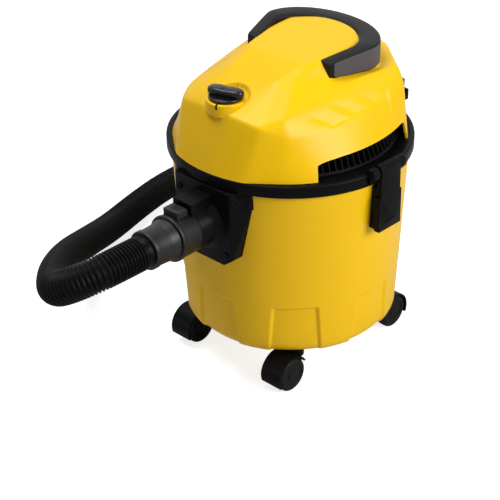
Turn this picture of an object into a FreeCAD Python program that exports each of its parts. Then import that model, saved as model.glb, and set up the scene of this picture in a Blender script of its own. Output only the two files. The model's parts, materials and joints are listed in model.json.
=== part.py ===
"""Wheeled drum vacuum cleaner, in millimetres.

The drum stands on the floor at z = 0 with its axis upright. The inlet and the hose face -Y and
the latches +X and -X. Heights and radii below are measured from the drum's axis. The whole
machine is then moved along Y, so that the origin lies on the floor under the middle of its box.
"""
import FreeCAD, Part
import math
import os

import Sketcher

V = FreeCAD.Vector
X_AXIS, Y_AXIS, Z_AXIS = V(1, 0, 0), V(0, 1, 0), V(0, 0, 1)

DIMENSIONS = {
    # tank
    "tank_foot_z": 49.0, "tank_foot_radius": 131.5, "tank_mouth_radius": 143.3,
    "tank_mouth_z": 273.0, "tank_top_z": 279.0, "tank_wall": 3.0, "tank_foot_round": 18.0,
    "tank_bead_radius": 145.4, "bay_depth": 3.0, "bay_top_z": 118.0, "bay_top_half": 25.5,
    "bay_foot_half": 31.0, "bay_count": 8,
    # inlet on the front of the tank
    "inlet_z": 223.5, "plate_front": 150.0, "plate_half_width": 60.0, "plate_foot_z": 177.0,
    "plate_top_z": 273.0, "neck_front": 176.6, "neck_radius": 27.0, "neck_bore": 24.0,
    "inlet_bore": 19.2, "catch_box_front": 182.0, "catch_box_half": 15.0, "catch_box_top_z": 263.0,
    "stub_bore": 16.5, "stub_rear": 112.0,
    # filter bag
    "bag_plate_half": 35.0, "bag_plate_thick": 3.0, "bag_half_width": 76.0, "bag_thick": 52.0,
    "bag_foot_z": 84.0, "bag_top_z": 262.0,
    # hose fittings
    "fitting_gap": 0.4, "fitting_radius": 27.5, "ring_radius": 28.6, "fitting_bore": 17.5,
    "ring_front": 207.0, "cuff_front": 236.0, "collar_front": 243.0, "cuff_root": 25.5,
    "cuff_radius": 23.0, "tab_half_width": 11.5, "tab_rear": 185.0, "tab_front": 200.5,
    "tab_top_z": 258.0, "tab_pivot_z": 246.6, "tab_pin_radius": 1.2,
    "hose_radius": 20.4, "hose_valley": 18.4, "hose_bore": 16.6, "rib_pitch": 8.2,
    "end_cuff_length": 62.0, "end_cuff_bore": 17.6, "end_cuff_radius": 20.6,
    # head base and rim
    "rim_radius": 149.0, "rim_foot_z": 273.5, "deck_top_z": 288.5, "deck_thick": 4.5,
    "rim_inner_radius": 146.0, "plug_radius": 139.5, "plug_foot_z": 276.0, "deck_hole": 40.0,
    "seal_thick": 3.0, "seal_gap": 0.1,
    # cover
    "cover_wall": 2.6, "cover_front": 148.0, "cover_rear": 145.0, "pedestal_y": 108.0,
    "pedestal_radius": 23.5, "pedestal_tall": 12.5, "groove_width": 1.6, "groove_depth": 1.2,
    "pedestal_top_z": 367.0, "recess_radius": 26.5, "finger_half": 40.0, "finger_foot_z": 352.0,
    "finger_front": 88.0,
    "pad_z": 395.0, "pad_rise": 0.055, "post_radius": 5.0, "post_circle": 129.0, "post_top_z": 325.0,
    "vent_top_z": 313.0, "vent_front": 79.5, "vent_rear": 74.0,
    # handle
    "handle_half": 82.5, "handle_deep": 58.0, "handle_front": 5.0, "handle_centre": 50.0,
    "handle_inner": 60.5, "handle_inner_deep": 45.0, "handle_inner_centre": 39.0,
    "handle_front_half": 66.0, "handle_front_inner": 48.0, "handle_front_top_z": 394.5,
    "handle_foot_z": 373.0, "handle_top_z": 403.0, "grip_sink": 1.5, "grip_proud": 0.8,
    "grip_foot_z": 374.5, "grip_edge": 1.2, "grip_rear": 72.0, "grip_gap": 0.4,
    "grip_setback": 4.0, "grip_corner": 5.0,
    # vent grilles
    "grille_foot_radius": 129.0, "grille_top_radius": 115.0, "grille_top_z": 320.0,
    "grille_thick": 6.0, "grille_rail": 3.0, "grille_front": 88.0, "grille_rear": 80.0,
    "slot_width": 5.2, "slot_step": 3.7, "slot_count": 18,
    # latches
    "latch_face": 157.0, "latch_wall": 3.0, "latch_half": 17.0, "latch_wide_half": 19.5,
    "latch_wide_z": 258.0, "latch_foot_z": 213.0, "latch_pin_x": 150.5, "latch_pin_z": 291.5,
    "latch_pin_radius": 2.0, "latch_barrel": 6.5, "latch_back": 146.3, "rim_clear": 0.6,
    "pin_clear": 0.08, "lug_width": 11.0, "lug_gap": 0.8, "catch_face": 145.9,
    "catch_nose": 149.6, "catch_half": 9.0, "catch_foot_z": 228.0, "catch_top_z": 238.0,
    # motor
    "housing_radius": 62.0, "housing_top_z": 352.0, "housing_wall": 2.5, "window_half": 17.0,
    "fan_radius": 55.0,
    "fan_foot_z": 294.0, "fan_top_z": 306.0, "motor_radius": 46.0, "motor_foot_z": 310.0,
    "bearing_radius": 11.0, "bearing_thick": 5.0, "shaft_radius": 4.0, "shaft_foot_z": 291.5,
    "shaft_bore_gap": 0.05,
    # filter stack under the head
    "basket_radius": 45.0, "basket_wall": 2.5, "basket_foot_z": 206.0, "basket_slots": 10,
    "foam_radius": 57.0, "foam_gap": 0.3, "foam_foot_z": 209.0, "basket_flange": 4.0,
    "float_radius": 26.0, "float_height": 26.0, "float_rest": 0.5,
    # switch
    "knob_half": 22.5, "knob_thick": 12.0, "knob_width": 18.0, "knob_stem": 4.6,
    "knob_lift": 0.4, "knob_rest": 18.0, "switch_half": 13.0, "switch_height": 20.0,
    # casters
    "caster_x": 78.0, "caster_y": 76.0, "caster_trail": 20.0, "wheel_radius": 21.5,
    "wheel_width": 11.4, "web_half": 3.0, "web_gap": 0.6, "hood_radius": 25.0, "hood_inner": 22.5,
    "hood_half": 15.5, "axle_radius": 3.0, "stem_radius": 4.0, "stem_top_z": 64.0,
    "stem_gap": 0.06, "hub_radius": 10.5, "hub_gap": 0.6, "socket_radius": 9.0,
    "socket_top_z": 68.0,
    # rear
    "hook_x": 56.0, "hook_half": 6.0, "hook_z": 296.0, "rear_reach": 150.0, "gland_z": 306.0,
    "gland_radius": 9.0, "gland_bore": 4.0,
    "screw_head": 4.0, "screw_radius": 2.0, "screw_gap": 0.2,
}

# The hose's centre line, by hand: out of the cuff, round a tight fold, down to the floor and back
# along it past the machine, then behind it to the end cuff.
HOSE_ROUTE = [
    (0.0, -243.0, 223.5), (0.0, -296.0, 223.5), (-11.1, -317.9, 216.4), (-30.1, -329.8, 204.4),
    (-51.6, -328.5, 190.7), (-88.0, -306.0, 171.0), (-152.0, -252.0, 140.0),
    (-218.0, -180.0, 103.0), (-278.0, -98.0, 62.0), (-330.0, -14.0, 27.5), (-358.0, 62.0, 20.8),
    (-372.0, 128.0, 20.8), (-374.0, 192.0, 20.8), (-350.0, 258.0, 20.8), (-300.0, 309.0, 20.8),
    (-240.0, 326.0, 20.8), (-166.0, 326.0, 20.8),
]
ARC_SHARE = 0.45

doc = FreeCAD.newDocument("DrumVacuum")
sheet = doc.addObject("Spreadsheet::Sheet", "Sizes")
for row, (alias, number) in enumerate(DIMENSIONS.items(), start=1):
    sheet.set(f"A{row}", alias)
    sheet.set(f"B{row}", str(number))
    sheet.setAlias(f"B{row}", alias)
doc.recompute()


class Size:
    """A number together with the spreadsheet expression that gives it."""

    def __init__(self, value, text):
        self.value, self.text = float(value), text

    def __add__(self, other):
        other = as_size(other)
        return Size(self.value + other.value, f"({self.text} + {other.text})")

    def __sub__(self, other):
        other = as_size(other)
        return Size(self.value - other.value, f"({self.text} - {other.text})")

    def __mul__(self, other):
        other = as_size(other)
        return Size(self.value * other.value, f"({self.text} * {other.text})")

    def __truediv__(self, other):
        other = as_size(other)
        return Size(self.value / other.value, f"({self.text} / {other.text})")

    def __neg__(self):
        return Size(-self.value, f"(0 - {self.text})")

    def __radd__(self, other):
        return as_size(other) + self

    def __rsub__(self, other):
        return as_size(other) - self

    def __rmul__(self, other):
        return as_size(other) * self


def as_size(number):
    return number if isinstance(number, Size) else Size(number, repr(float(number)))


class Sheet:
    """Gives each driving dimension as a Size, by its alias."""

    def __getattr__(self, alias):
        return Size(DIMENSIONS[alias], f"Sizes.{alias}")


s = Sheet()
axis_y = (s.catch_box_front - s.rear_reach) / 2


def bind(obj, prop, size):
    """Ties a property to the sheet."""
    obj.setExpression(prop, as_size(size).text)


def put(obj, x, y, z):
    """Places an object at sizes from the sheet, and remembers them for the machine's own frame."""
    for letter, size in zip("xyz", (x, y, z)):
        bind(obj, f"Placement.Base.{letter}", size)
    places[obj.Name] = as_size(y)


places = {}
nodes = {}


def node(obj, label):
    """Registers a finished piece and moves it from the drum's frame to the machine's."""
    bind(obj, "Placement.Base.y", places.get(obj.Name, as_size(0)) + axis_y)
    obj.Label = label
    nodes[label] = obj
    return obj


def box(name, x0, x1, y0, y1, z0, z1):
    obj = doc.addObject("Part::Box", name)
    for prop, low, high in (("Length", x0, x1), ("Width", y0, y1), ("Height", z0, z1)):
        bind(obj, prop, as_size(high) - as_size(low))
    put(obj, x0, y0, z0)
    return obj


def post(name, radius, x, y, z0, z1):
    """An upright cylinder."""
    obj = doc.addObject("Part::Cylinder", name)
    bind(obj, "Radius", radius)
    bind(obj, "Height", as_size(z1) - as_size(z0))
    put(obj, x, y, z0)
    return obj


def rod_x(name, radius, x0, x1, y, z):
    """A cylinder along X."""
    obj = post(name, radius, x0, y, x0, x1)
    obj.Placement.Rotation = FreeCAD.Rotation(Y_AXIS, 90)
    put(obj, x0, y, z)
    return obj


def rod_y(name, radius, x, y0, y1, z):
    """A cylinder along Y."""
    obj = post(name, radius, x, y0, y0, y1)
    obj.Placement.Rotation = FreeCAD.Rotation(X_AXIS, -90)
    put(obj, x, y0, z)
    return obj


def tube(name, outer, inner, x, y, z0, z1):
    """An upright ring or sleeve."""
    return cut(name, post(name + "_skin", outer, x, y, z0, z1),
               post(name + "_bore", inner, x, y, as_size(z0) - 1, as_size(z1) + 1))


def cut(name, base, *tools):
    for number, tool in enumerate(tools):
        last = number == len(tools) - 1
        obj = doc.addObject("Part::Cut", name if last else f"{name}_step{number}")
        obj.Base, obj.Tool = base, tool
        base = obj
    return base


def fuse(name, *parts):
    obj = doc.addObject("Part::MultiFuse", name)
    obj.Shapes = list(parts)
    obj.Refine = True
    return obj


def common(name, first, second):
    obj = doc.addObject("Part::Common", name)
    obj.Base, obj.Tool = first, second
    return obj


def feature(name, shape):
    """A piece whose shape is computed from the sheet's values."""
    obj = doc.addObject("Part::Feature", name)
    obj.Shape = shape
    return obj


def outline(body, role, points, offset=0.0):
    """A closed outline on one of a body's own origin planes, each corner tied to the sheet."""
    sketch = body.newObject("Sketcher::SketchObject", body.Name + "_outline")
    plane = [f for f in body.Origin.OriginFeatures if f.Role == role][0]
    sketch.AttachmentSupport = [(plane, "")]
    sketch.MapMode = "FlatFace"
    bind(sketch, "AttachmentOffset.Base.z", offset)
    corners = [(as_size(a), as_size(b)) for a, b in points]
    count = len(corners)
    for i, (a, b) in enumerate(corners):
        c, d = corners[(i + 1) % count]
        sketch.addGeometry(Part.LineSegment(V(a.value, b.value, 0), V(c.value, d.value, 0)))
    for i, (a, b) in enumerate(corners):
        sketch.addConstraint(Sketcher.Constraint("Coincident", i, 2, (i + 1) % count, 1))
        for kind, size in (("DistanceX", a), ("DistanceY", b)):
            index = sketch.addConstraint(Sketcher.Constraint(kind, -1, 1, i, 1, size.value))
            bind(sketch, f"Constraints[{index}]", size)
    return sketch


def new_body(name):
    return doc.addObject("PartDesign::Body", name)


def revolve(name, points):
    """A turned piece: an outline of (radius, z) corners, revolved about the upright axis."""
    body = new_body(name)
    sketch = outline(body, "XZ_Plane", points)
    turned = body.newObject("PartDesign::Revolution", name + "_turned")
    turned.Profile = sketch
    turned.ReferenceAxis = (sketch, ["V_Axis"])
    turned.Angle = 360
    doc.recompute()
    return body


def revolve_y(name, points, z):
    """A turned piece about an axis along Y at height z: corners are (radius, y)."""
    body = new_body(name)
    sketch = outline(body, "XY_Plane", points)
    turned = body.newObject("PartDesign::Revolution", name + "_turned")
    turned.Profile = sketch
    turned.ReferenceAxis = (sketch, ["V_Axis"])
    turned.Angle = 360
    doc.recompute()
    put(body, 0, 0, z)
    return body


def extrude(name, role, points, near, far):
    """A prism from an outline; near and far are measured along the plane's normal."""
    body = new_body(name)
    sketch = outline(body, role, points, near)
    pad = body.newObject("PartDesign::Pad", name + "_pad")
    pad.Profile = sketch
    bind(pad, "Length", as_size(far) - as_size(near))
    doc.recompute()
    return body


def round_edges(body, radius, chosen):
    """Rounds the edges of a body for which chosen(edge) holds."""
    base = body.Tip
    names = [f"Edge{i}" for i, edge in enumerate(base.Shape.Edges, start=1) if chosen(edge)]
    fillet = body.newObject("PartDesign::Fillet", body.Name + "_round")
    fillet.Base = (base, names)
    bind(fillet, "Radius", radius)
    doc.recompute()
    return body


def circle_edge(radius, z):
    """Chooses a horizontal circle of a given radius and height."""
    def chosen(edge):
        curve = edge.Curve
        return (isinstance(curve, Part.Circle) and abs(curve.Radius - radius.value) < 1e-3
                and abs(curve.Center.z - z.value) < 1e-3)
    return chosen


def polar(body, count):
    """Repeats a body's last feature round the upright axis."""
    pattern = body.newObject("PartDesign::PolarPattern", body.Name + "_ring")
    pattern.Originals = [body.Tip]
    axis = [f for f in body.Origin.OriginFeatures if f.Role == "Z_Axis"][0]
    pattern.Axis = (axis, [""])
    pattern.Angle = 360
    bind(pattern, "Occurrences", count)
    body.Tip = pattern
    doc.recompute()
    return body


def drum_radius(z):
    """The drum's outer radius at a height."""
    share = (as_size(z) - s.tank_foot_z) / (s.tank_mouth_z - s.tank_foot_z)
    return s.tank_foot_radius + (s.tank_mouth_radius - s.tank_foot_radius) * share


def drum(name, inset, foot_z, rounding):
    """A solid of the drum's form, smaller by inset all round."""
    body = revolve(name, [(0, foot_z), (s.tank_foot_radius - inset, foot_z),
                          (s.tank_mouth_radius - inset, s.tank_mouth_z),
                          (s.tank_mouth_radius - inset, s.tank_top_z + 2),
                          (0, s.tank_top_z + 2)])
    return round_edges(body, rounding, circle_edge(s.tank_foot_radius - inset, as_size(foot_z)))


def make_tank():
    """The drum: tapered wall, rounded foot, bead at the mouth and shallow bays round the foot."""
    below = 1
    skin = drum("drum_skin", as_size(0), s.tank_foot_z, s.tank_foot_round)
    core = drum("drum_core", s.bay_depth, s.tank_foot_z - below, s.tank_foot_round - s.bay_depth)
    hollow = drum("drum_hollow", s.tank_wall, s.tank_foot_z + s.tank_wall,
                  s.tank_foot_round - s.tank_wall)
    deep = drum("drum_deep", s.tank_wall + s.bay_depth, s.tank_foot_z + s.tank_wall - below,
                s.tank_foot_round - s.tank_wall - s.bay_depth)
    reach = s.rim_radius
    foot = s.tank_foot_z - 5

    def wedges(name, grow):
        wedge = extrude(name, "XZ_Plane",
                        [(-s.bay_foot_half - grow, foot), (s.bay_foot_half + grow, foot),
                         (s.bay_top_half + grow, s.bay_top_z + grow),
                         (-s.bay_top_half - grow, s.bay_top_z + grow)], as_size(0), reach)
        return polar(wedge, s.bay_count)

    outer = cut("tank_outer", skin, cut("bay_recess", wedges("bay_wedge", as_size(0)), core))
    inner = cut("tank_inner", hollow, cut("bay_back", wedges("back_wedge", s.tank_wall), deep))
    bead = tube("tank_bead", s.tank_bead_radius, s.tank_mouth_radius - s.tank_wall, 0, 0,
                s.tank_mouth_z + 1.5, s.tank_top_z)
    lid = post("tank_lid", s.rim_radius, 0, 0, s.tank_top_z, s.tank_top_z + 5)
    inlet = rod_y("tank_inlet", s.inlet_bore + 2, 0, -s.rim_radius, -s.stub_rear, s.inlet_z)
    holes = [post(f"stem_hole_{i}", s.socket_radius - 3, x, y, s.tank_foot_z - 1,
                  s.tank_foot_z + s.tank_wall + 1) for i, (x, y) in enumerate(caster_pivots())]
    shell = cut("tank_shell", fuse("tank_walls", outer, bead), inner, lid, inlet, *holes)
    return node(shell, "tank"), skin, inner


def caster_pivots():
    """The four swivel axes, as (x, y) sizes."""
    return [(s.caster_x * i, s.caster_y * j) for i, j in ((-1, -1), (1, -1), (-1, 1), (1, 1))]


def make_inlet(skin):
    """The black plate on the tank's front, its neck and the catch box on top of the neck."""
    half, front, top, foot = s.plate_half_width, s.plate_front, s.plate_top_z, s.plate_foot_z
    face = extrude("plate_face", "XZ_Plane",
                   [(-half + 27, foot), (half - 27, foot), (half - 15, foot + 9),
                    (half, top - 20), (half - 13, top - 5), (half - 13, top), (-half + 13, top),
                    (-half + 13, top - 5), (-half, top - 20), (-half + 15, foot + 9)],
                   s.plate_front - 60, s.plate_front)
    plan = extrude("plate_plan", "XY_Plane",
                   [(-half, -front + 20), (-half + 16, -front), (half - 16, -front),
                    (half, -front + 20), (half, -front + 60), (-half, -front + 60)], foot, top)
    apron = common("plate_apron", face, plan)
    back = extrude("plate_back", "XZ_Plane",
                   [(-half + 4, top - 23), (half - 4, top - 23), (half + 2, top),
                    (-half - 2, top)], front - 60, front - 17)
    neck = rod_y("neck_skin", s.neck_radius, 0, -s.neck_front, -front + 10, s.inlet_z)
    root = doc.addObject("Part::Cone", "neck_root")
    bind(root, "Radius1", s.neck_radius + 7)
    bind(root, "Radius2", s.neck_radius)
    bind(root, "Height", as_size(8))
    root.Placement.Rotation = FreeCAD.Rotation(X_AXIS, 90)
    put(root, 0, -front, s.inlet_z)
    catch = box("catch_box", -s.catch_box_half, s.catch_box_half, -s.catch_box_front,
                -front + 5, s.inlet_z + 10, s.catch_box_top_z)
    nose_gap = rod_y("catch_room", s.fitting_radius + 0.8, 0, -s.catch_box_front - 1,
                     -s.neck_front, s.inlet_z)
    body = fuse("inlet_skin", apron, back, neck, root, catch)
    bore = rod_y("inlet_bore", s.inlet_bore, 0, -s.neck_front - 20, -s.stub_rear, s.inlet_z)
    socket = rod_y("neck_socket", s.neck_bore, 0, -s.neck_front - 1, -front - 3.5, s.inlet_z)
    shell = cut("inlet_shell", body, skin, nose_gap, bore, socket)
    node(shell, "inlet_flange")

    screws = []
    for i, (x, z) in enumerate(((-half + 22, top - 16), (half - 22, top - 16),
                                (-half + 24, foot + 14), (half - 24, foot + 14))):
        head = rod_y(f"flange_head_{i}", s.screw_head, x, -front - 1.6, -front, z)
        screws.append(cut(f"flange_screw_{i}", head,
                          box(f"flange_slot_{i}", x - 3, x + 3, -front - 2, -front - 1.2,
                              z - 0.5, z + 0.5)))
    node(fuse("flange_heads", *screws), "flange_screws")

    stub_front = front + 2
    stub = revolve_y("stub_skin", [(s.stub_bore, -stub_front), (s.inlet_bore, -stub_front),
                                   (s.inlet_bore, -128.5), (s.inlet_bore + 6, -128.5),
                                   (s.inlet_bore + 6, -125.5), (s.inlet_bore, -125.5),
                                   (s.inlet_bore, -s.stub_rear), (s.stub_bore, -s.stub_rear)],
                     s.inlet_z)
    node(stub, "inlet_stub")
    seal = revolve_y("seal_ring", [(s.inlet_bore, -front - 6.3), (s.neck_bore, -front - 6.3),
                                   (s.neck_bore, -front - 3.5), (s.inlet_bore, -front - 3.5)],
                     s.inlet_z)
    node(seal, "inlet_seal")


def make_bag():
    """The cloth bag that the dust is blown into, on its collar plate over the inlet stub."""
    plate_front = 125.5
    half, thick = s.bag_plate_half, s.bag_plate_thick
    plate = cut("bag_plate", box("bag_plate_skin", -half, half, -plate_front,
                                 thick - plate_front, s.inlet_z - half - 5, s.inlet_z + half),
                rod_y("bag_plate_hole", s.inlet_bore, 0, -plate_front - 1, thick - plate_front + 1,
                      s.inlet_z))
    node(plate, "bag_collar")
    bag_front = thick - plate_front
    slab = box("bag_slab", -s.bag_half_width, s.bag_half_width, bag_front,
               bag_front + s.bag_thick, s.bag_foot_z, s.bag_top_z)
    room = post("bag_room", s.tank_foot_radius - s.tank_wall - s.bay_depth - 3, 0, 0,
                s.bag_foot_z - 1, s.bag_top_z + 1)
    mouth = rod_y("bag_mouth", s.inlet_bore + 0.3, 0, -plate_front, -s.stub_rear + 2, s.inlet_z)
    node(cut("bag_form", common("bag_round", slab, room), mouth), "filter_bag")


def make_sockets(inside):
    """Sockets in the tank's floor for the caster stems."""
    floor = s.tank_foot_z + s.tank_wall
    bosses = [post(f"socket_boss_{i}", s.socket_radius, x, y, floor, s.socket_top_z)
              for i, (x, y) in enumerate(caster_pivots())]
    seated = common("socket_seated", fuse("socket_bosses", *bosses), inside)
    necks = [post(f"socket_neck_{i}", s.socket_radius - 3, x, y, s.tank_foot_z, floor + 2)
             for i, (x, y) in enumerate(caster_pivots())]
    bores = [post(f"socket_bore_{i}", s.stem_radius + s.stem_gap, x, y, s.tank_foot_z - 1,
                  s.socket_top_z + 1) for i, (x, y) in enumerate(caster_pivots())]
    return node(cut("sockets", fuse("socket_skins", seated, *necks), *bores), "caster_sockets")


def make_catches(skin):
    """Catch plates on the tank's sides, with the nose that each latch closes over."""
    for side, name in ((1, "right"), (-1, "left")):
        def span(a, b):
            return (a, b) if side > 0 else (-b, -a)
        x0, x1 = span(s.catch_face - 12, s.catch_face)
        plate = box(f"catch_plate_{name}", x0, x1, -s.latch_half + 0.5, s.latch_half - 0.5,
                    s.latch_foot_z, s.latch_foot_z + 55)
        x0, x1 = span(s.catch_face - 2, s.catch_nose)
        nose = box(f"catch_nose_{name}", x0, x1, -s.catch_half, s.catch_half, s.catch_foot_z,
                   s.catch_top_z)
        node(cut(f"catch_{name}", fuse(f"catch_skin_{name}", plate, nose), skin),
             f"latch_catch_{name}")


def make_connector():
    """The rigid end of the hose: spigot in the neck, body, ring and the seat of the tab."""
    gap, neck, ring = s.fitting_gap, s.neck_front, s.ring_front
    body = revolve_y("connector_skin",
                     [(s.fitting_bore, -neck + 18), (s.neck_bore - 0.3, -neck + 18),
                      (s.neck_bore - 0.3, -neck - gap), (s.fitting_radius, -neck - gap),
                      (s.fitting_radius, -ring + 4), (s.ring_radius, -ring + 3),
                      (s.ring_radius, -ring), (s.fitting_bore, -ring)], s.inlet_z)
    side = s.tab_half_width + 0.6
    seat = box("tab_seat", -side, side, -s.tab_front - 0.8, -s.tab_rear + 2.5,
               s.inlet_z + 20.2, s.inlet_z + 40)
    pin = rod_x("tab_pin_hole", s.tab_pin_radius + 0.1, -side - 2.6, side + 2.6,
                -s.tab_front + 2, s.tab_pivot_z)
    node(cut("connector", body, seat, pin), "hose_connector")

    plate = box("tab_plate", -s.tab_half_width, s.tab_half_width, -s.tab_front, -s.tab_rear,
                s.inlet_z + 26, s.tab_top_z)
    foot = box("tab_foot", -s.tab_half_width, s.tab_half_width, -s.tab_front, -s.tab_front + 4,
               s.tab_pivot_z - 1.6, s.inlet_z + 27)
    trunnion = rod_x("tab_trunnion", s.tab_pin_radius, -side - 2, side + 2, -s.tab_front + 2,
                     s.tab_pivot_z)
    ribs = [box(f"tab_rib_{i}", -6, 6, -s.tab_rear - 4.2 - 2.6 * i, -s.tab_rear - 3.0 - 2.6 * i,
                s.tab_top_z - 0.2, s.tab_top_z + 0.7) for i in range(3)]
    node(fuse("tab", plate, foot, trunnion, *ribs), "hose_release_tab")

    cuff = revolve_y("cuff_skin",
                     [(s.hose_bore, -ring), (s.cuff_root, -ring), (s.cuff_radius, -ring - 12),
                      (s.cuff_radius - 0.5, -s.cuff_front), (s.cuff_radius + 0.6, -s.cuff_front),
                      (s.cuff_radius + 0.6, -s.collar_front), (s.hose_bore, -s.collar_front)],
                     s.inlet_z)
    node(cuff, "hose_cuff")


def hose_path():
    """The hose's centre line: straight runs joined by tangent arcs. Gives edges and radii."""
    points = [V(*p) for p in HOSE_ROUTE]
    edges, radii, start = [], [], points[0]
    for before, corner, after in zip(points, points[1:], points[2:]):
        back, ahead = before - corner, after - corner
        half_turn = (math.pi - back.getAngle(ahead)) / 2
        reach = ARC_SHARE * min(back.Length, ahead.Length)
        radius = reach / math.tan(half_turn)
        arc_start = corner + back.normalize() * reach
        arc_end = corner + ahead.normalize() * reach
        inward = (back + ahead).normalize()
        middle = corner + inward * (radius / math.cos(half_turn) - radius)
        edges.append(Part.LineSegment(start, arc_start).toShape())
        edges.append(Part.Arc(arc_start, middle, arc_end).toShape())
        radii.append(radius)
        start = arc_end
    edges.append(Part.LineSegment(start, points[-1]).toShape())
    return edges, radii


def steady_circle(centre, direction, x_axis, radius):
    """A circle whose seam follows one side of the hose."""
    y_axis = direction.cross(x_axis)
    placement = FreeCAD.Placement(FreeCAD.Matrix(
        x_axis.x, y_axis.x, direction.x, centre.x, x_axis.y, y_axis.y, direction.y, centre.y,
        x_axis.z, y_axis.z, direction.z, centre.z, 0, 0, 0, 1))
    circle = Part.Wire(Part.makeCircle(radius))
    circle.Placement = placement
    return circle


def make_hose():
    """The ribbed hose: a ruled loft through four circles a rib, with its bore."""
    edges, radii = hose_path()
    path = Part.Wire(edges)
    length = path.Length
    print("hose length", round(length, 1), "radii", [round(r) for r in radii])
    plain_end = 8.0
    count = int((length - 2 * plain_end) / DIMENSIONS["rib_pitch"])
    pitch = (length - 2 * plain_end) / count
    crest, valley = DIMENSIONS["hose_radius"], DIMENSIONS["hose_valley"]
    stations = [(0.0, crest)]
    for i in range(count):
        for share, radius in ((0.0, valley), (0.25, valley), (0.45, crest), (0.8, crest)):
            stations.append((plain_end + (i + share) * pitch, radius))
    stations.append((length - plain_end, crest))
    stations.append((length, crest))
    lengths = [edge.Length for edge in edges]

    def at(distance):
        for edge, span in zip(edges, lengths):
            if distance <= span + 1e-6:
                where = edge.getParameterByLength(min(distance, span))
                return edge.valueAt(where), edge.tangentAt(where).normalize()
            distance -= span
        raise ValueError("station past the hose's end")

    outer, inner, x_axis = [], [], V(0, 0, 1)
    for distance, radius in stations:
        centre, direction = at(distance)
        x_axis = (x_axis - direction * x_axis.dot(direction)).normalize()
        outer.append(steady_circle(centre, direction, x_axis, radius))
        inner.append(steady_circle(centre, direction, x_axis, DIMENSIONS["hose_bore"]))
    skin = Part.makeLoft(outer, True, True)
    bore = Part.makeLoft(inner[::4] + ([inner[-1]] if (len(inner) - 1) % 4 else []), True, True)
    hose = skin.cut(bore)
    ring = math.pi * (crest ** 2 - DIMENSIONS["hose_bore"] ** 2)
    print("hose volume over crest ring times length", round(hose.Volume / (ring * length), 3),
          "ribs", count)
    node(feature("hose_form", hose.Solids[0]), "suction_hose")


def make_end_cuff():
    """The hose's far end: a straight cuff that takes a tube or a nozzle."""
    before, last = V(*HOSE_ROUTE[-2]), V(*HOSE_ROUTE[-1])
    direction = (last - before).normalize()
    length, radius = DIMENSIONS["end_cuff_length"], DIMENSIONS["end_cuff_radius"]
    skin = Part.makeCylinder(radius, length, last, direction)
    ring = Part.makeCylinder(radius - 1.2, length, last, direction)
    front = Part.makeCylinder(radius, length * 0.3, last, direction)
    bore = Part.makeCylinder(DIMENSIONS["end_cuff_bore"], length, last + direction * 8, direction)
    throat = Part.makeCylinder(DIMENSIONS["hose_bore"], length, last - direction, direction)
    form = ring.fuse(front).common(skin).cut(bore).cut(throat).removeSplitter()
    node(feature("end_cuff_form", form.Solids[0]), "hose_end_cuff")


POST_ANGLES = (-62, 62, 118, -118)


def post_places():
    """Where the cover's screw posts stand, as (x, y) sizes."""
    return [(s.post_circle * math.cos(math.radians(angle)),
             s.post_circle * math.sin(math.radians(angle))) for angle in POST_ANGLES]


def make_head_base():
    """The black lower casing of the head: rim collar, deck, plug ring and latch lugs."""
    deck_foot = s.deck_top_z - s.deck_thick
    seal_top = s.tank_top_z + s.seal_gap + s.seal_thick
    turned = revolve("base_skin",
                     [(s.deck_hole, deck_foot), (s.plug_radius - 3, deck_foot),
                      (s.plug_radius - 3, s.plug_foot_z), (s.plug_radius, s.plug_foot_z),
                      (s.plug_radius, seal_top), (s.rim_inner_radius, seal_top),
                      (s.rim_inner_radius, s.rim_foot_z), (s.rim_radius, s.rim_foot_z),
                      (s.rim_radius, s.deck_top_z - 1.5), (s.rim_radius - 1.5, s.deck_top_z),
                      (s.deck_hole, s.deck_top_z)])
    parts, holes = [turned], []
    near = s.latch_half + s.lug_gap
    for i, side in enumerate((1, -1)):
        for j, front in enumerate((1, -1)):
            def across(x):
                return x * side
            low, high = (near, near + s.lug_width) if front > 0 else (
                -near - s.lug_width, -near)
            parts.append(extrude(f"lug_{i}{j}", "XZ_Plane",
                                 [(across(x), z) for x, z in (
                                     (s.rim_inner_radius + 1.2, s.rim_foot_z + 1),
                                     (s.rim_radius + 4, s.rim_foot_z + 7),
                                     (s.latch_face - 1, s.deck_top_z - 4),
                                     (s.latch_face - 1, s.deck_top_z + 4),
                                     (s.latch_face - 5, s.deck_top_z + 7.5),
                                     (s.rim_inner_radius, s.deck_top_z + 7.5),
                                     (s.rim_inner_radius - 6, s.deck_top_z - 1),
                                     (s.rim_inner_radius + 1.2, seal_top + 1))], low, high))
        a, b = s.latch_pin_x - s.latch_barrel - 0.5, s.rim_radius + 12
        x0, x1 = (a, b) if side > 0 else (-b, -a)
        holes.append(box(f"latch_notch_{i}", x0, x1, -near, near,
                         s.latch_pin_z - s.latch_barrel - 0.6, s.deck_top_z + 10))
        reach = near + s.lug_width - 1
        holes.append(rod_y(f"pin_hole_{i}", s.latch_pin_radius, s.latch_pin_x * side, -reach,
                           reach, s.latch_pin_z))
    for i, (x, y) in enumerate(post_places()):
        holes.append(post(f"screw_way_{i}", s.screw_radius + s.screw_gap, x, y, deck_foot - 1,
                          s.deck_top_z + 1))
    return node(cut("head_base_form", fuse("base_walls", *parts), *holes), "head_base")


def make_rim_seal():
    """The soft ring that closes the head onto the tank's mouth."""
    foot = s.tank_top_z + s.seal_gap
    node(tube("rim_seal_ring", s.rim_inner_radius, s.plug_radius, 0, 0, foot,
              foot + s.seal_thick), "rim_seal")


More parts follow.
